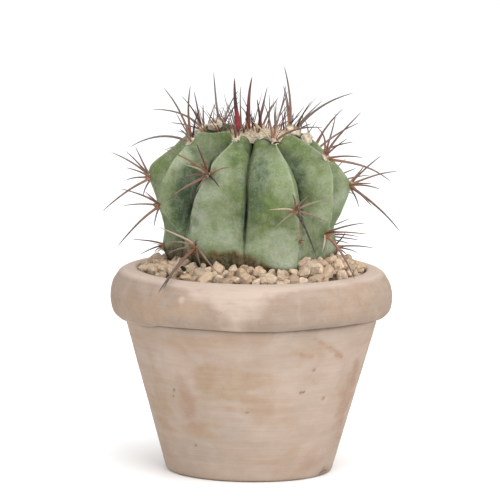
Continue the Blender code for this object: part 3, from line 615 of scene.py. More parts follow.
def pot_tint(point, radius, height):
    """Colour of the clay at a point whose place on the even outline is (radius, height), with painted shade
    in the crease under the roll.
    """
    x, y, z = point
    azimuth = math.degrees(math.atan2(x, -y))
    wall = math.hypot(x, y)
    rag = fractal((x, y, z * 2.2), 9, 4)
    colour = blend(CLAY, GREY_CLAY, 0.40 + 0.7 * fractal((x + 90, y, z * 1.5), 32, 4))
    colour = blend(colour, PALE_CLAY, 0.18 + 0.35 * fractal((x, y - 60, z * 2), 18, 4))
    colour = blend(colour, TAN_CLAY, 0.6 * (fractal((x * 0.6, y * 0.6, z * 3), 14, 4) - 0.05))
    if radius > ROLL_RADIUS and z > ROLL_FOOT:
        colour = tuple(channel * shade for channel, shade in zip(colour, ROLL_SHADE))
        colour = blend(colour, PALE_CLAY, 0.6 * (z - 98.5))
        if y < 0:
            colour = blend(colour, PALE_CLAY, 0.9 * bleached(x, z, rag))
    if radius < 40.5 or wall < OUTSIDE_RADIUS:
        return blend(colour, DIRT_AND_CREASE_SHADE, 0.25 + 0.5 * rag)
    for where, middle, half_width, half_height, shade, share, ragged in CLAY_PATCHES:
        across = math.radians(turned(azimuth, where)) * wall / half_width
        upwards = (z - middle) / half_height
        far = across * across + upwards * upwards
        if far < 4:
            colour = blend(colour, shade, share * limited((1.25 - math.sqrt(far) + ragged * rag) * 1.5))
    for start, end in SCRATCHES:
        along, off = beside(azimuth, z, start, end)
        if -0.1 < along < 1.1 and off < SCRATCH_REACH:
            colour = blend(colour, PINK_CLAY, (1.3 + rag) * (1 - off / SCRATCH_REACH))
    for where, middle, size, shade in PITS:
        far = math.hypot(math.radians(turned(azimuth, where)) * wall, z - middle) / size
        if far < 1.2:
            colour = blend(colour, shade, 0.8 * (1.3 - far))
    # Painted shade: a thin dark line is painted in the crease under the roll, where the roll's edge shades
    # the wall
    slit = max(0.0, 1 - abs(radius - 63.6) / 1.3) if 77.0 < height < 80.2 else 0.0
    colour = blend(colour, DIRT_AND_CREASE_SHADE, 0.9 * slit)
    chipped = abs(turned(azimuth, CHIP_AZIMUTH)) < CHIP_WIDTH + 1
    return blend(colour, RUST, 0.5 * (1.5 - z) if chipped else 0.2 * (0.6 - z))


def beside(azimuth, height, start, end):
    """(share of the way along a scratch, distance from it in mm) of a place on the wall."""
    scale = math.radians(1.0) * 58.0
    run, rise = (end[0] - start[0]) * scale, end[1] - start[1]
    x, y = turned(azimuth, start[0]) * scale, height - start[1]
    along = (x * run + y * rise) / (run * run + rise * rise)
    return along, math.hypot(x - run * along, y - rise * along)


# Stem

# The groove at a rib's right, where not midway or plain: its (elevation, azimuth) and (elevation, depth)
DEEP_GROOVE = [
    (-41, 0.0), (-33, 0.06), (-20, 0.17), (-5, 0.27), (8, 0.33), (42, 0.33), (58, 0.26), (90, 0.0),
]
GROOVES = {
    "left": (None, [(-41, 0.0), (-33, 0.14), (-20, 0.26), (-5, 0.27), (20, 0.27), (45, 0.28), (55, 0.36),
        (66, 0.36), (78, 0.15), (90, 0.0)]),
    "left_front": ([(-41, -47), (-30, -49), (-22, -52), (-18, -54), (-6, -56), (2, -54), (13, -52),
        (24, -50), (38, -48.5), (51, -41), (62, -36)], DEEP_GROOVE),
    "front_left": ([(-41, -6.5), (-34, -6.2), (-29, -5.8), (-15, -5.4), (-3, -4.3), (6, -4.0), (16, -4.2),
        (27, -4.0), (36, -3.3), (45, -2.8), (56, -1.4)], [(-41, 0.0), (-33, 0.04), (-20, 0.12),
        (-8, 0.175), (3, 0.175), (14, 0.13), (36, 0.12), (48, 0.20), (62, 0.20), (90, 0.0)]),
    "front_right": ([(-41, 38), (-26, 37), (-17, 37), (-5, 38), (8, 39.5), (28, 39.5), (46, 39), (60, 38)],
        [(-41, 0.0), (-30, 0.05), (-17, 0.10), (-8, 0.20), (5, 0.32), (42, 0.34), (58, 0.24), (90, 0.0)]),
}

# How full the two flanks of a rib are (left, right): fullness, and the (elevation, share) where it folds in
PLAIN_FLANK = (0.35, [(0, 0.75)])
FLANKS = {
    "left": (PLAIN_FLANK, (0.10, [(0, 0.7)])),
    "left_front": ((0.0, [(0, 0.7)]), (0.10, [(0, 0.7)])),
    "front_left": ((0.0, [(0, 0.7)]), (1.0, [(2, 0.96), (16, 0.93), (29, 0.80), (52, 0.40)])),
    "front_right": ((1.0, [(-25, 0.95), (-5, 0.93), (20, 0.90), (45, 0.80)]),
                    (0.30, [(-10, 0.8), (10, 0.6)])),
    "right_front": ((0.20, [(0, 0.7)]), (0.0, [(0, 0.7)])),
    "right": ((0.05, [(0, 0.7)]), PLAIN_FLANK),
}

# The slit at the bottom of a deep groove, and how round the crests are
SLIT_DEPTH = 2.2
SLIT_WIDTH = 0.38
CREST_ROUND = 0.06

# Swellings and hollows of the skin as (place, how far they reach, push at their middle)
BUMPS = [
    ((-19.0, 0.0, 168.0), (6.5, 5.0, 9.0), (0.0, 0.0, -3.0)),
    ((20.0, -41.0, 106.0), (9.0, 8.0, 5.0), (1.0, -3.5, 0.0)),
]

SKIN = (0.162, 0.184, 0.108)
LEAF_SKIN = (0.125, 0.160, 0.056)
# Darker mottle of the skin, also used as painted shade on shaded flanks
DARK_MOTTLE_AND_SHADE = (0.056, 0.084, 0.044)
# Painted shade for the grooves
PAINTED_GROOVE_SHADE = (0.018, 0.028, 0.013)
# Painted shade for the hollow under the crown
PAINTED_HOLLOW_SHADE = (0.030, 0.048, 0.024)
# Bloom on the skin, also used as painted highlight on the crests and on a lit flank
BLOOM_AND_HIGHLIGHT = (0.315, 0.335, 0.258)
# Painted light for flanks that face the lamps
PAINTED_LIGHT_SKIN = (0.255, 0.285, 0.180)
CORK = (0.058, 0.036, 0.012)
RUSTY_CORK = (0.140, 0.084, 0.030)
STREAK = (0.20, 0.145, 0.088)

# Patches on the skin as (place, how far they reach, colour, share): some of its own tone and bloom, some
# painted shade on shaded flanks and in the hollow, some painted light on lit flanks
SKIN_TONE_SHADE_AND_LIGHT_PATCHES = [
    ((-22, -38, 126), (14, 12, 12), BLOOM_AND_HIGHLIGHT, 0.75),
    ((14, -42, 119), (15, 12, 7), BLOOM_AND_HIGHLIGHT, 0.75),
    ((8, -36, 156), (9, 12, 9), BLOOM_AND_HIGHLIGHT, 0.25),
    ((-15, -36, 150), (4, 12, 16), BLOOM_AND_HIGHLIGHT, 0.30),
    ((-18, -42, 134), (5, 10, 10), LEAF_SKIN, 0.6),
    ((-38, -22, 135), (10, 12, 9), LEAF_SKIN, 0.5),
    # Painted shade: the flank in the shadow of the rib at its right
    ((-31, -24, 141), (9, 14, 19), DARK_MOTTLE_AND_SHADE, 0.95),
    ((-35, -22, 130), (7, 14, 9), DARK_MOTTLE_AND_SHADE, 0.6),
    # Painted light: the upper left flank lit from above, and the lit faces of the right ribs
    ((-40, -18, 160), (9, 14, 8), BLOOM_AND_HIGHLIGHT, 0.9),
    ((36, -30, 142), (8, 14, 15), PAINTED_LIGHT_SKIN, 0.9),
    ((28, -32, 152), (5, 12, 12), PAINTED_LIGHT_SKIN, 0.5),
    # Painted shade: flanks beside the middle groove and the groove at the right
    ((2.5, -38, 146), (5, 12, 18), DARK_MOTTLE_AND_SHADE, 0.55),
    ((20, -27, 155), (6, 9, 14), DARK_MOTTLE_AND_SHADE, 0.65),
    # Painted light: lit faces of the ribs
    ((-46, -16, 145), (7, 16, 9), PAINTED_LIGHT_SKIN, 0.8),
    ((18, -40, 146), (7, 12, 16), PAINTED_LIGHT_SKIN, 0.35),
    ((-20, -36, 148), (8, 12, 15), PAINTED_LIGHT_SKIN, 0.30),
    ((23.5, -39, 124.5), (1.6, 9, 6), STREAK, 0.55),
    # Painted shade in the hollow under the crown
    ((-19, 5, 169.5), (9, 9, 5), PAINTED_HOLLOW_SHADE, 0.95),
    # Painted shade: the flank beside the middle groove
    ((3, -43, 150), (5, 12, 16), DARK_MOTTLE_AND_SHADE, 0.60),
    ((-22, -38, 143), (7, 12, 6), BLOOM_AND_HIGHLIGHT, 0.35),
    ((30, -30, 141), (6, 9, 6), LEAF_SKIN, 0.6),
]

# How high the corky foot of the stem reaches, as (azimuth, height)
CORK_TOP = [
    (-180, 112), (-110, 113), (-90, 114), (-60, 114), (-40, 115.0), (-30, 115.0), (-20, 115.0), (-8, 116.8),
    (0, 115.4), (8, 110.8), (20, 105.4), (28, 104.5), (40, 106.5), (70, 110.5), (110, 112), (180, 112),
]


def ridge_samples(rib):
    """(elevation, distance, azimuth) closely spaced on the straight lines between a rib's crest points."""
    points = CRESTS[rib]
    corners = [(points[0][0], radius, height) for radius, height in FOOT]
    corners += [*points, (points[-1][0], 0.0, CROWN_HEIGHT)]
    samples = []
    for low, high in zip(corners, corners[1:]):
        for t in np.arange(12) / 12:
            azimuth, radius, height = (a + (b - a) * t for a, b in zip(low, high))
            samples.append((*as_polar(radius, height), azimuth))
    samples.append((90.0, CROWN_HEIGHT - CORE_HEIGHT, points[-1][0]))
    return np.array(samples).T


def softened(values, width):
    """Values with their corners rounded over about a number of places."""
    reach = int(3 * width)
    weights = np.exp(-0.5 * (np.arange(-reach, reach + 1) / width) ** 2)
    longer = np.concatenate([2 * values[0] - values[reach:0:-1], values,
                             2 * values[-1] - values[-2:-reach - 2:-1]])
    return np.convolve(longer, weights / weights.sum(), "valid")


def stem_levels():
    """Elevations from the bottom of the neck to the crown."""
    foot = [as_polar(radius, height)[0] for radius, height in FOOT]
    under = np.linspace(foot[0], foot[1], 3, endpoint=False)
    neck = np.linspace(foot[1], foot[2], 5, endpoint=False)
    above = np.linspace(foot[2], 90.0, round((90.0 - foot[2]) / STEM_STEP))
    return np.concatenate([under, neck, above])


def rib_lines(levels):
    """(distance, azimuth) of each crest and (distance, azimuth, depth) of the groove at its right."""
    crests = []
    for rib in CRESTS:
        elevation, distance, azimuth = ridge_samples(rib)
        crests.append((softened(np.interp(levels, elevation, distance), 2.0),
                       softened(np.interp(levels, elevation, azimuth), 2.0)))
    grooves = []
    for number, rib in enumerate(CRESTS):
        distance, azimuth = crests[number]
        other_distance, other_azimuth = crests[(number + 1) % len(crests)]
        apart = (other_azimuth - azimuth) % 360.0
        line, depths = GROOVES.get(rib, (None, GROOVE_DEPTH))
        place = between(line, levels)[0] if line else azimuth + apart / 2
        depth = between(depths, levels)[0] * np.minimum(1.0, apart / FULL_DEPTH_SPACING)
        floor = (distance + other_distance) / 2 * (1 - depth)
        grooves.append((softened(floor, 4.0), softened(place, 4.0), depth))
    return crests, grooves


def flank_rise(away, fold):
    """How far a full flank has risen from groove (0) to crest (1): it folds in at a share of the way."""
    broad = 1 - 0.50 * away - 0.06 * away ** 3
    turned_in = (1 - away) * (1 - 0.50 * fold) / (1 - fold)
    soft = 0.06
    mixed = np.clip(0.5 + 0.5 * (turned_in - broad) / soft, 0, 1)
    return np.maximum(turned_in * (1 - mixed) + broad * mixed - soft * mixed * (1 - mixed), 0.0)


def on_cone(distance, azimuth, tilt):
    """Points in mm at distances from the core, azimuths in degrees and elevations in radians."""
    turn = np.radians(azimuth)
    flat = distance * np.cos(tilt)
    return np.stack([flat * np.sin(turn), -flat * np.cos(turn), CORE_HEIGHT + distance * np.sin(tilt)], -1)


def flank_points(crest, groove, levels, side, style):
    """Points of one flank for every level and share of the way from its crest (0) to its groove (1)."""
    fullness, fold_table = style
    away = 0.5 - 0.5 * np.cos(np.pi * np.arange(FLANK_STEPS + 1) / FLANK_STEPS)[None, :]
    tilt = np.radians(levels)[:, None]
    distance, azimuth = (values[:, None] for values in crest)
    floor, place, depth = (values[:, None] for values in groove)
    apart = ((place - azimuth) * side + 180.0) % 360.0 - 180.0
    fold = np.clip(between(fold_table, levels)[0], 0.0, 0.96)[:, None]
    rise = flank_rise(away, fold)
    tilts = np.broadcast_to(tilt, rise.shape)
    full = on_cone(floor + (distance - floor) * rise, azimuth + side * apart * away, tilts)
    low, high = on_cone(floor, azimuth + side * apart, tilt), on_cone(distance, azimuth, tilt)
    flat = high + (low - high) * away[:, :, None]
    points = flat + (full - flat) * fullness
    outwards = points - np.array([0.0, 0.0, CORE_HEIGHT])
    reach = np.linalg.norm(outwards, axis=2)
    rounding = away - np.sqrt(away ** 2 + CREST_ROUND ** 2) + CREST_ROUND
    lift = (distance - floor) * rounding * (1 - fullness)
    from_groove = (1 - away) * np.radians(np.abs(apart)) * reach
    deep = np.minimum(1.0, depth / 0.2) ** 2
    slit = SLIT_DEPTH * deep * np.exp(-((from_groove / SLIT_WIDTH) ** 2))
    points = points + outwards / reach[:, :, None] * (lift - slit)[:, :, None]
    notes = np.stack([np.broadcast_to(part, rise.shape) for part in (away, from_groove, deep)], -1)
    return points, notes


def stem_grid():
    """(points in mm, notes on each, columns) of the stem. A note has the share of the way from the crest,
    the way from the groove and the groove's depth."""
    levels = stem_levels()
    crests, grooves = rib_lines(levels)
    points = []
    notes = []
    for number, rib in enumerate(CRESTS):
        left_style, right_style = FLANKS.get(rib, (PLAIN_FLANK, PLAIN_FLANK))
        left, left_notes = flank_points(crests[number], grooves[number - 1], levels, -1, left_style)
        right, right_notes = flank_points(crests[number], grooves[number], levels, 1, right_style)
        points += [left[:, ::-1], right[:, 1:-1]]
        notes += [left_notes[:, ::-1], right_notes[:, 1:-1]]
    points = np.concatenate(points, axis=1)
    notes = np.concatenate(notes, axis=1)
    return points.reshape(-1, 3), notes.reshape(-1, 3), points.shape[1]


def skin_tint(point, note):
    """Colour of the skin at a point of the stem, with painted shade in the grooves, the hollow and shaded
    flanks, and painted light on the crests and lit flanks.
    """
    away, from_groove, deep = note
    x, y, z = point
    colour = blend(SKIN, LEAF_SKIN, 0.5 + 1.7 * fractal((x, y, z), 20, 3))
    colour = blend(colour, DARK_MOTTLE_AND_SHADE, 0.9 * fractal((x + 70, y, z), 9, 5))
    bloom = fractal((x + 40, y, z), 16, 5) * 2.4 + (130 - z) / 30
    colour = blend(colour, BLOOM_AND_HIGHLIGHT, 0.50 * bloom)
    # Bloom and painted highlight: the crests are painted paler, as where the light catches them
    colour = blend(colour, BLOOM_AND_HIGHLIGHT, 0.75 * math.exp(-((away / 0.06) ** 2)))
    for centre, reach, shade, share in SKIN_TONE_SHADE_AND_LIGHT_PATCHES:
        far = math.sqrt(sum(((a - b) / c) ** 2 for a, b, c in zip(point, centre, reach)))
        if far < 2:
            far += 0.4 * fractal((x, y + 30, z), 5, 4)
            colour = blend(colour, shade, share * limited((1.2 - far) * 2))
    # Painted shade: the skin is painted darker in and beside the grooves, the more the deeper the groove
    colour = blend(colour, PAINTED_GROOVE_SHADE, deep * (0.90 * math.exp(-((from_groove / 0.65) ** 2))
                                              + 0.42 * math.exp(-((from_groove / 5.0) ** 2))))
    azimuth = math.degrees(math.atan2(x, -y))
    edge = between(CORK_TOP, azimuth)[0] + 3.0 * fractal((x, y, 0), 8, 4)
    shade = blend(RUSTY_CORK, CORK, (edge - z) / 3.5 + 2 * fractal((x, y, z * 2.5), 7, 3))
    return blend(colour, shade, (edge - z) / 2.4)


def moved_by_bumps(point):
    """Where the named swellings and hollows of the skin put a point."""
    spot = Vector(point)
    for centre, reach, push in BUMPS:
        far = sum(((a - b) / c) ** 2 for a, b, c in zip(point, centre, reach))
        if far < 9:
            spot += Vector(push) * math.exp(-far)
    return spot


def make_stem():
    """The stem's piece; gives back how far its foot reaches."""
    points, notes, columns = stem_grid()
    shaped = []
    for point in points:
        spot = moved_by_bumps(point)
        if point[2] > STEM_FOOT:
            out = (spot - Vector((0, 0, CORE_HEIGHT))).normalized()
            spot += out * (0.45 * fractal(point, 13, 3) + 0.12 * fractal(point, 3.5, 3))
        shaped.append(tuple(spot))
    tints = [skin_tint(point, note) for point, note in zip(shaped, notes)]
    faces = flipped(grid_faces(len(points) // columns, columns))
    stem = make_piece("stem", shaped, faces, skin_material(), tints)
    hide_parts("cactus")
    return foot_widths(shaped)


def foot_cell(x, y, z):
    """(part of a turn, height step) of a place near the foot of the stem."""
    return round(math.degrees(math.atan2(x, -y)) / 6) % 60, round(z / 3)


def foot_widths(points):
    """How far the foot of the stem reaches from the axis in each of its cells."""
    widths = {}
    for x, y, z in points:
        if z < FOOT_TOP:
            cell = foot_cell(x, y, z)
            widths[cell] = max(widths.get(cell, 0.0), math.hypot(x, y))
    return widths


# Spines and wool

# A fan at the back: its spines, how many of them stand round its rim, and the (least, most) degrees from
# its middle and the (least, most) length of these and of the others
FAN_SPINES, RIM_SPINES = 8, 6
RIM_FAN = ((52, 66), (14, 22))
MIDDLE_FAN = ((14, 30), (25, 29))
LOWEST_TIP = 110.5

# Spines: (sides, rings), radius at the root for no length and for each mm more, and how deep the root sits
FULL_SPINE, SHORT_SPINE = (7, 12), (6, 7)
ROOT_RADIUS, RADIUS_PER_MM = 0.40, 0.0150
ROOT_DEPTH = 2.2
SHORT_SPINES = 4
BACK_CROWN_SPINES = 26

# Wool: hairs on an areole, on a tuft and on the cushion, and the cushion's height and grid
AREOLE_HAIRS, TUFT_HAIRS, CUSHION_HAIRS = 120, 300, 5200
CUSHION_TOP = 171.2
CUSHION_RINGS, SUNK_RINGS, CUSHION_SIDES = 28, 2, 120
PAD_RINGS, PAD_SIDES = 9, 16


def areole_at(rib, height):
    """(point, outward direction) in mm of an areole on a rib's crest."""
    points = [(point[2], point[0], point[1]) for point in CRESTS[rib]]
    azimuth, radius = between(points, height)
    point = outward(azimuth) * radius + Vector((0.0, 0.0, height))
    return point, (point - Vector((0.0, 0.0, 130.0))).normalized()


def leaning(direction, turn, spread):
    """(unit vector away from a direction by an angle, way that it leans), with both angles in radians."""
    across = direction.cross(UP).normalized()
    up = across.cross(direction).normalized()
    side = across * math.cos(turn) + up * math.sin(turn)
    return direction * math.cos(spread) + side * math.sin(spread), side


def hidden_tips(direction, height, draw):
    """Tips of the spines of an areole at the back: a fan of short ones and long ones in its middle."""
    tips = []
    for number in range(FAN_SPINES):
        spreads, lengths = RIM_FAN if number < RIM_SPINES else MIDDLE_FAN
        turn = math.tau * (number + draw.uniform(-0.25, 0.25)) / RIM_SPINES
        spread = math.radians(draw.uniform(*spreads))
        tip = leaning(direction, turn, spread)[0] * draw.uniform(*lengths)
        tip.z = max(tip.z, LOWEST_TIP - height)
        tips.append(tip)
    return tips


def spine_colour(kind, along, shade):
    """Colour of a spine at a share of its length."""
    stops = (0.0, 0.32, 0.48, 1.0) if kind == "young" else (0.0, 0.18, 0.6, 1.0)
    colour = between([(place, *tone) for place, tone in zip(stops, SPINE_COLOURS[kind])], along)
    return shaded(colour, shade)


def add_spine(parts, root, tip, bow, thick, kind, draw, sides_rings=FULL_SPINE):
    """A tapered, slightly crooked round spine from root to tip in mm."""
    sides, rings = sides_rings
    along = tip - root
    across = along.to_track_quat("Z", "Y").to_matrix()
    crooked = 0.007 * along.length
    # Of the three drifts the last is drawn only to keep the order of the draws
    drifts = [Vector((draw.uniform(-1, 1), draw.uniform(-1, 1), 0)) * crooked for _ in range(3)]
    shade = draw.uniform(0.80, 1.25)
    points = []
    tints = []
    for ring in range(rings):
        t = ring / (rings - 1)
        t = 1 - (1 - t) ** 1.2
        centre = root + along * t + bow * (4.0 * t * (1.0 - t))
        centre += across @ (drifts[0] * math.sin(math.pi * t) + drifts[1] * math.sin(math.tau * t))
        radius = thick * ((1.0 - t) ** 0.58 * 0.92 + 0.08) * (1.0 + 0.35 * math.exp(-((t / 0.06) ** 2)))
        for side in range(sides):
            turn = math.tau * side / sides
            edge = Vector((math.cos(turn) * radius, math.sin(turn) * radius * 0.88, 0.0))
            points.append(tuple(centre + across @ edge))
            tints.append(spine_colour(kind, t, shade))
    faces = flipped([*grid_faces(rings, sides), range(sides)])
    points.append(tuple(tip))
    tints.append(spine_colour(kind, 1.0, shade))
    top = (rings - 1) * sides
    faces += [(top + side, top + (side + 1) % sides, rings * sides) for side in range(sides)]
    parts.add(points, faces, tints)


def add_short_spines(parts, point, direction, draw):
    """Weak young spines that spread low round an areole."""
    for number in range(SHORT_SPINES):
        turn = math.tau * (number + draw.uniform(0, 1)) / SHORT_SPINES
        lean, side = leaning(direction, turn, math.radians(draw.uniform(42, 74)))
        tip = lean * draw.uniform(3.0, 7.0)
        kind = draw.choice(("tan", "brown", "grey", "dark", "cream"))
        bow, thick = tip.cross(side) * 0.03, draw.uniform(0.24, 0.36)
        add_spine(parts, point - direction, point + tip, bow, thick, kind, draw, SHORT_SPINE)


def make_spines():
    """All spines in one piece: those of the areoles, the crown's, and the crown's at the back."""
    draw = random.Random(21)
    fine = random.Random(5)
    parts = Parts()
    for rib, height, reaches in AREOLES:
        point, direction = areole_at(rib, height)
        spines = [(Vector((x, -lean, up + SIGHT_SLOPE * lean)), kind, *(rest or [0.05]))
                  for x, up, lean, kind, *rest in reaches]
        if not spines:
            kinds = ("brown", "tan", "grey", "cream", "brown", "tan", "brown", "red")
            spines = [(tip, kind, 0.05) for tip, kind in zip(hidden_tips(direction, height, draw), kinds)]
        for tip, kind, bow_share in spines:
            along = tip.normalized()
            out = direction + UP
            out -= along * out.dot(along)
            bow = out.normalized() * (tip.length * bow_share)
            thick = ROOT_RADIUS + RADIUS_PER_MM * tip.length
            add_spine(parts, point - direction * ROOT_DEPTH, point + tip, bow, thick, kind, fine)
        if (rib, height) not in SCARS:
            add_short_spines(parts, point, direction, fine)
    for x, front, height, reach, up, lean, kind, thick in CROWN_SPINES:
        root = Vector((x, -front, height - ROOT_DEPTH))
        tip = root + Vector((reach, -lean, up + ROOT_DEPTH))
        bow = Vector((x, 0, 0)).normalized() * (0.02 * up)
        add_spine(parts, root, tip, bow, thick if kind in ("young", "maroon") else thick * 1.2, kind, fine)
    for _ in range(BACK_CROWN_SPINES):
        azimuth = fine.uniform(100, 260)
        root = outward(azimuth) * fine.uniform(9, 19) + Vector((0, 0, 168))
        tip = root + outward(azimuth + fine.uniform(-30, 30)) * fine.uniform(3, 12)
        tip += UP * fine.uniform(7, 15)
        kind = fine.choice(("grey", "brown", "dark", "tan", "red"))
        add_spine(parts, root, tip, UP * 0.4, fine.uniform(0.25, 0.5), kind, fine)
    parts.piece("spines", "cactus_skin", spine_material())


def add_hair(parts, root, reach, thick, colour, draw):
    """A thin three-sided curl of wool."""
    bend = Vector((draw.uniform(-1, 1), draw.uniform(-1, 1), draw.uniform(-0.6, 1))) * (reach.length * 0.35)
    turn = reach.to_track_quat("Z", "Y").to_matrix()
    points = []
    for t in (0.0, 0.4, 0.75):
        centre = root + reach * t + bend * (4 * t * (1 - t))
        for side in range(3):
            angle = math.tau * side / 3
            edge = turn @ Vector((math.cos(angle), math.sin(angle), 0.0)) * (thick * (1 - 0.6 * t))
            points.append(tuple(centre + edge))
    points.append(tuple(root + reach + bend * 0.2))
    faces = flipped(grid_faces(3, 3)) + [(2, 1, 0), (6, 7, 9), (7, 8, 9), (8, 6, 9)]
    parts.add(points, faces, [colour] * 10)


def add_pad(parts, point, direction, size, colour, seed):
    """A low felt pad, lumpy, sunk to its middle."""
    turn = direction.to_track_quat("Y", "Z").to_matrix()
    points = []
    tints = []
    for ring in range(PAD_RINGS):
        slope = math.pi * (ring + 0.5) / PAD_RINGS
        for side in range(PAD_SIDES):
            angle = math.tau * side / PAD_SIDES
            ball = Vector((math.sin(slope) * math.cos(angle), math.sin(slope) * math.sin(angle),
                           math.cos(slope)))
            lump = 1.0 + 0.24 * fractal(ball * 3 + Vector((seed, 0, 0)), 1.3, 3)
            local = Vector((ball.x * size[0], ball.y * size[1], ball.z * size[2])) * lump
            points.append(tuple(point + turn @ local))
            # Painted shade: lumps that stand out are painted paler and the dips between them darker
            tints.append(shaded(colour, lump * 1.6 - 0.6))
    ends = [range(PAD_SIDES), range(len(points) - 1, len(points) - PAD_SIDES - 1, -1)]
    parts.add(points, flipped(grid_faces(PAD_RINGS, PAD_SIDES) + ends), tints)


def add_tuft(parts, point, direction, size, colour, count, draw):
    """A felt pad with loose wool on it."""
    # Painted shade: the pad under the loose wool is painted darker than the wool on it
    add_pad(parts, point, direction, size, shaded(colour, 0.82), point.x * 0.7 + point.z)
    turn = direction.to_track_quat("Y", "Z").to_matrix()
    for _ in range(count):
        angle = draw.uniform(0, math.tau)
        spread = math.sqrt(draw.random())
        rise = size[1] * math.sqrt(max(0.0, 1 - spread * spread))
        place = Vector((math.cos(angle) * size[0] * spread, rise, math.sin(angle) * size[2] * spread))
        lean = turn @ Vector((draw.uniform(-0.8, 0.8), 1.0, draw.uniform(-0.8, 0.8)))
        tone = shaded(colour, draw.uniform(0.65, 1.15))
        root = point + turn @ place - direction * 0.3
        add_hair(parts, root, lean * draw.uniform(0.4, 1.6), 0.065, tone, draw)


def cushion_at(azimuth, spread):
    """A place on the felt cushion of the crown, from its middle (0) to its edge (1)."""
    reach = between(CUSHION_EDGE, azimuth)[0] * spread
    spot = outward(azimuth) * reach
    spot.z = CUSHION_TOP - 3.2 * spread ** 2 + 0.7 * fractal(spot, 6, 4)
    return spot


def add_cushion(parts):
    """The felt cushion of the crown; its edge sinks into the skin."""
    points = []
    tints = []
    rings = CUSHION_RINGS + 1 + SUNK_RINGS
    for ring in range(rings):
        for side in range(CUSHION_SIDES):
            azimuth = 360.0 * side / CUSHION_SIDES - 180.0
            spot = cushion_at(azimuth, min(1.0, ring / CUSHION_RINGS))
            spot -= UP * (1.6 * max(0, ring - CUSHION_RINGS))
            points.append(tuple(spot))
            tints.append(shaded(FELT, 0.85 + 0.25 * fractal(spot, 2.0, 3)))
    parts.add(points, grid_faces(rings, CUSHION_SIDES), tints)


def make_wool():
    """The wool of the areoles, the tufts of the crown and its cushion, in one piece."""
    draw = random.Random(33)
    parts = Parts()
    for rib, height, _ in AREOLES:
        point, direction = areole_at(rib, height)
        fresh = limited((height - 138) / 22)
        size = (1.5 + 0.6 * fresh, 0.9 + 0.4 * fresh, 2.1 + 0.6 * fresh)
        if (rib, height) in SCARS:
            size = (0.9, 0.4, 1.5)
        colour = blend(OLD_FELT, FELT, fresh)
        add_tuft(parts, point - direction * 0.3, direction, size, colour, AREOLE_HAIRS, draw)
    for (x, front, height), size in CROWN_TUFTS:
        out = UP * 2 + Vector((x, -front, 0)).normalized()
        add_tuft(parts, Vector((x, -front, height)), out.normalized(), size, FELT, TUFT_HAIRS, draw)
    add_cushion(parts)
    for _ in range(CUSHION_HAIRS):
        azimuth = draw.uniform(-180, 180)
        spread = math.sqrt(draw.uniform(0.02, 1.06))
        lean = Vector((draw.uniform(-0.8, 0.8), draw.uniform(-0.8, 0.8), 0.9))
        lean += outward(azimuth) * (0.8 * spread)
        tone = shaded(FELT, draw.uniform(0.70, 1.20))
        root = cushion_at(azimuth, spread) - UP * 0.2
        add_hair(parts, root, lean * draw.uniform(0.4, 1.4), 0.07, tone, draw)
    parts.piece("areole_wool", "cactus_skin", wool_material())


# Gravel

# Height the gravel reaches where it meets the stem, as (azimuth, height), and at the pot's wall
FOOT_LEVEL = [
    (-180, 108), (-150, 107), (-120, 106.4), (-90, 106.2), (-75, 106.8), (-60, 108.4), (-25, 109.4),
    (0, 108.4), (18, 106.6), (28, 107.2), (33, 110.2), (38, 112.2), (50, 112.2), (70, 110.6), (90, 108.8),
    (120, 107.6), (180, 108),
]
WALL_LEVEL = 102.8
WALL_RADIUS = 56.7
FOOT_RADIUS = 42.0
GRAIN_RADII = (4.3, 4.0, 3.7, 3.3, 2.9, 2.4, 1.9)
GRAIN_COLOURS = [
    (0.59, 0.46, 0.345), (0.53, 0.41, 0.30), (0.63, 0.515, 0.40), (0.49, 0.37, 0.265), (0.57, 0.46, 0.355),
]
BED_COLOUR = (0.120, 0.080, 0.054)

# Packing ends after so many misses or grains, the radii get smaller after every few misses, so many places
# are tried for a grain, two grains nest by a share, and they are made larger than they are packed
MISS_LIMIT, GRAIN_LIMIT = 280, 900
MISSES_PER_RADIUS = 40
TRIES = 16
NESTING = 0.76
SWELLING = 1.20

# A grain is a ball cut flat on so many sides; where none cuts it, it reaches so many radii
CUTS = 11
UNCUT_REACH = 1.22

# Bed under the grains as (radius, height or 0, depth under the gravel's top), and its parts in a turn
BED_LINE = [(34, 95.0, 0), (34, 0, -5.0), (44, 0, -4.6), (50, 0, -4.4), (56.5, 0, -4.2), (56.5, 95.0, 0)]
BED_SIDES = 72

# Where the stem's foot has no measured reach: (height, radius)
PLAIN_FOOT = [(96.4, 28.0), (102.6, 38.5), (106.0, 41.0), (112.0, 43.0)]

# A dark grain and the pale bits beside it, at the front left of the stem
DARK_GRAIN = (-33.5, -41.5, 106.2)
PALE_BITS = [(1.6, -1.2, 0.9), (-1.9, -0.6, -0.6), (0.9, -1.5, -1.8), (2.4, -0.2, -0.9)]


def bed_top(x, y):
    """Height in mm that the gravel reaches at a place."""
    share = limited((WALL_RADIUS - math.hypot(x, y)) / (WALL_RADIUS - FOOT_RADIUS))
    return WALL_LEVEL + (between(FOOT_LEVEL, math.degrees(math.atan2(x, -y)))[0] - WALL_LEVEL) * share


# Two corners of the twelve are neighbours when they are nearer than this
NEIGHBOUR = 1.1


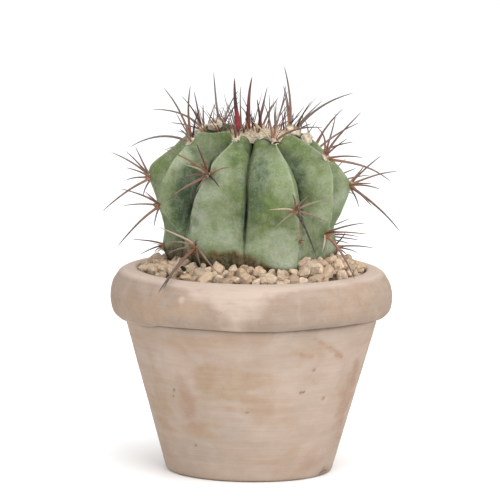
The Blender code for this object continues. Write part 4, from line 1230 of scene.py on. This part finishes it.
def icosphere(levels):
    """(points, faces) of a unit ball of triangles."""
    g = (1 + 5 ** 0.5) / 2
    points = [Vector(place).normalized() for s in (-1, 1) for t in (-g, g)
              for place in ((s, t, 0), (0, s, t), (t, 0, s))]
    faces = []
    for a, b, c in itertools.combinations(range(12), 3):
        if max((points[i] - points[j]).length for i, j in ((a, b), (b, c), (c, a))) < NEIGHBOUR:
            outwards = points[a].cross(points[b]).dot(points[c]) > 0
            faces.append((a, b, c) if outwards else (a, c, b))
    for _ in range(levels):
        middle = {}
        split = []

        def half(a, b):
            key = (min(a, b), max(a, b))
            if key not in middle:
                middle[key] = len(points)
                points.append(((points[a] + points[b]) / 2).normalized())
            return middle[key]

        for a, b, c in faces:
            ab, bc, ca = half(a, b), half(b, c), half(c, a)
            split += [(a, ab, ca), (b, bc, ab), (c, ca, bc), (ab, bc, ca)]
        faces = split
    return points, faces


BALL = icosphere(2)


def add_stone(parts, centre, radius, colour, draw):
    """One broken, worn grain: a ball cut flat on several sides."""
    axis = Vector((draw.uniform(-1, 1), draw.uniform(-1, 1), draw.uniform(-1, 1)))
    turn = Quaternion(axis, draw.uniform(0, math.tau)).to_matrix()
    widths = Vector((1.0, draw.uniform(0.75, 1.0), draw.uniform(0.68, 0.95)))
    cuts = []
    for _ in range(CUTS):
        normal = Vector((draw.gauss(0, 1), draw.gauss(0, 1), draw.gauss(0, 1))).normalized()
        cuts.append((normal, draw.uniform(0.56, 0.86)))
    offset = Vector((draw.uniform(0, 50), 0, 0))
    points = []
    tints = []
    for ball in BALL[0]:
        reach = UNCUT_REACH
        for normal, distance in cuts:
            facing = ball.dot(normal)
            if facing > 0.05:
                reach = min(reach, distance / facing)
        rough = 0.06 * fractal(ball + offset, 0.8, 2) + 0.06 * fractal(ball + offset, 0.25, 2)
        reach *= 1.0 + rough
        local = Vector((ball.x * widths.x, ball.y * widths.y, ball.z * widths.z)) * (reach * radius)
        points.append(tuple(centre + turn @ local))
        # Painted shade: the dents of each grain are painted darker and its bumps paler
        tints.append(shaded(colour, 1 + 2.5 * rough))
    parts.add(points, BALL[1], tints)


def rest_height(x, y, radius, placed, floor):
    """Height at which a ball dropped at (x, y) comes to rest on the ones below it."""
    height = floor + radius
    for px, py, pz, pr in placed:
        gap = math.hypot(x - px, y - py)
        reach = (radius + pr) * NESTING
        if gap < reach:
            height = max(height, pz + math.sqrt(reach * reach - gap * gap))
    return height


def pack_grains(foot, draw):
    """(x, y, z, radius) of grains that rest on each other and on the bed, large ones first."""
    placed = []
    misses = 0
    while misses < MISS_LIMIT and len(placed) < GRAIN_LIMIT:
        radius = draw.choice(GRAIN_RADII[misses // MISSES_PER_RADIUS:])
        best = None
        for _ in range(TRIES):
            spot = math.sqrt(draw.uniform(36.0 ** 2, (WALL_RADIUS - 0.4 - radius) ** 2))
            angle = draw.uniform(0, math.tau)
            x, y = spot * math.cos(angle), spot * math.sin(angle)
            height = rest_height(x, y, radius, placed, bed_top(x, y) - 8.0)
            if spot < stem_reach(foot, x, y, height) + radius * 0.55:
                continue
            over = height + radius * 0.9 - bed_top(x, y)
            if best is None or over < best[0]:
                best = (over, x, y, height)
        if best is None or best[0] > 0.4:
            misses += 1
        else:
            placed.append((*best[1:], radius))
    return placed


def make_gravel(foot):
    """Loose grains on a dark bed, in one piece."""
    draw = random.Random(11)
    parts = Parts()
    for x, y, z, radius in pack_grains(foot, draw):
        light = draw.uniform(0.80, 1.12)
        colour = shaded(draw.choice(GRAIN_COLOURS), light)
        add_stone(parts, Vector((x, y, z)), radius * SWELLING, colour, draw)
    place = Vector(DARK_GRAIN)
    add_stone(parts, place, 1.5, (0.030, 0.024, 0.020), draw)
    for step in PALE_BITS:
        add_stone(parts, place + Vector(step), 0.9, (0.50, 0.42, 0.31), draw)
    points = []
    for r, low, drop in BED_LINE:
        for number in range(BED_SIDES):
            angle = math.tau * number / BED_SIDES
            x, y = r * math.cos(angle), r * math.sin(angle)
            points.append((x, y, low or bed_top(x, y) + drop + 0.8 * fractal((x, y, 0), 4, 3)))
    parts.add(points, grid_faces(len(BED_LINE), BED_SIDES), [BED_COLOUR] * len(points))
    gravel = parts.piece("gravel_grains", "gravel", pumice_material(), smooth=False)
    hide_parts("gravel")


def stem_reach(foot, x, y, z):
    """How far the stem's foot reaches from the axis beside a place, in mm."""
    return foot.get(foot_cell(x, y, z)) or between(PLAIN_FOOT, z)[0]


def dress_soil():
    """The soil keeps its shape and gets its material."""
    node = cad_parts["soil"]
    node.data.materials.clear()
    node.data.materials.append(soil_material())


# Stage

FLOOR_HALF = 6.0
ROOM_LIGHT = 0.98

# Soft lamps as (name, azimuth, elevation, width, watts), all aimed at one place and as far from it
LAMPS = [("key", 41, 42, 3.0, 34.5), ("fill", 5, 42, 1.6, 15.0), ("top", 0, 85, 1.6, 13.0)]
LAMP_AIM = (0.0, 0.0, 0.1)
LAMP_DISTANCE = 2.3

# Camera: place, aim, focal length in mm and roll in degrees
CAMERA_PLACE = (-0.00097, -3.0, 0.533)
CAMERA_AIM = (-0.00097, 0.0, 0.110)
FOCAL_LENGTH = 438.6
CAMERA_ROLL = 0.75


def make_stage():
    """A pale floor, a white room and soft lamps."""
    mesh = bpy.data.meshes.new("studio_floor")
    corners = [(x * FLOOR_HALF, y * FLOOR_HALF, 0) for x, y in ((-1, -1), (1, -1), (1, 1), (-1, 1))]
    mesh.from_pydata(corners, [], [(0, 1, 2, 3)])
    mesh.materials.append(floor_material())
    floor = linked("studio_floor", mesh)
    world = bpy.data.worlds.new("studio")
    world.use_nodes = True
    background = world.node_tree.nodes["Background"]
    background.inputs["Color"].default_value = (1.0, 1.0, 1.0, 1.0)
    background.inputs["Strength"].default_value = ROOM_LIGHT
    bpy.context.scene.world = world
    aim = Vector(LAMP_AIM)
    for name, azimuth, elevation, size, power in LAMPS:
        data = bpy.data.lights.new(name, "AREA")
        data.shape = "DISK"
        data.size = size
        data.energy = power
        lamp = linked(name, data)
        rise = math.radians(elevation)
        lamp.location = aim + (outward(azimuth) * math.cos(rise) + UP * math.sin(rise)) * LAMP_DISTANCE
        lamp.rotation_euler = (aim - lamp.location).to_track_quat("-Z", "Y").to_euler()


def make_camera():
    data = bpy.data.cameras.new("camera")
    data.lens = FOCAL_LENGTH
    data.sensor_width = 36.0
    data.clip_end = 100.0
    camera = linked("camera", data)
    camera.location = CAMERA_PLACE
    camera.rotation_mode = "QUATERNION"
    look = (Vector(CAMERA_AIM) - camera.location).to_track_quat("-Z", "Y")
    camera.rotation_quaternion = look @ Quaternion((0, 0, 1), math.radians(CAMERA_ROLL))
    bpy.context.scene.camera = camera


make_pot()
dress_soil()
make_gravel(make_stem())
make_spines()
make_wool()
make_stage()
make_camera()
bpy.context.scene.view_settings.view_transform = "Standard"
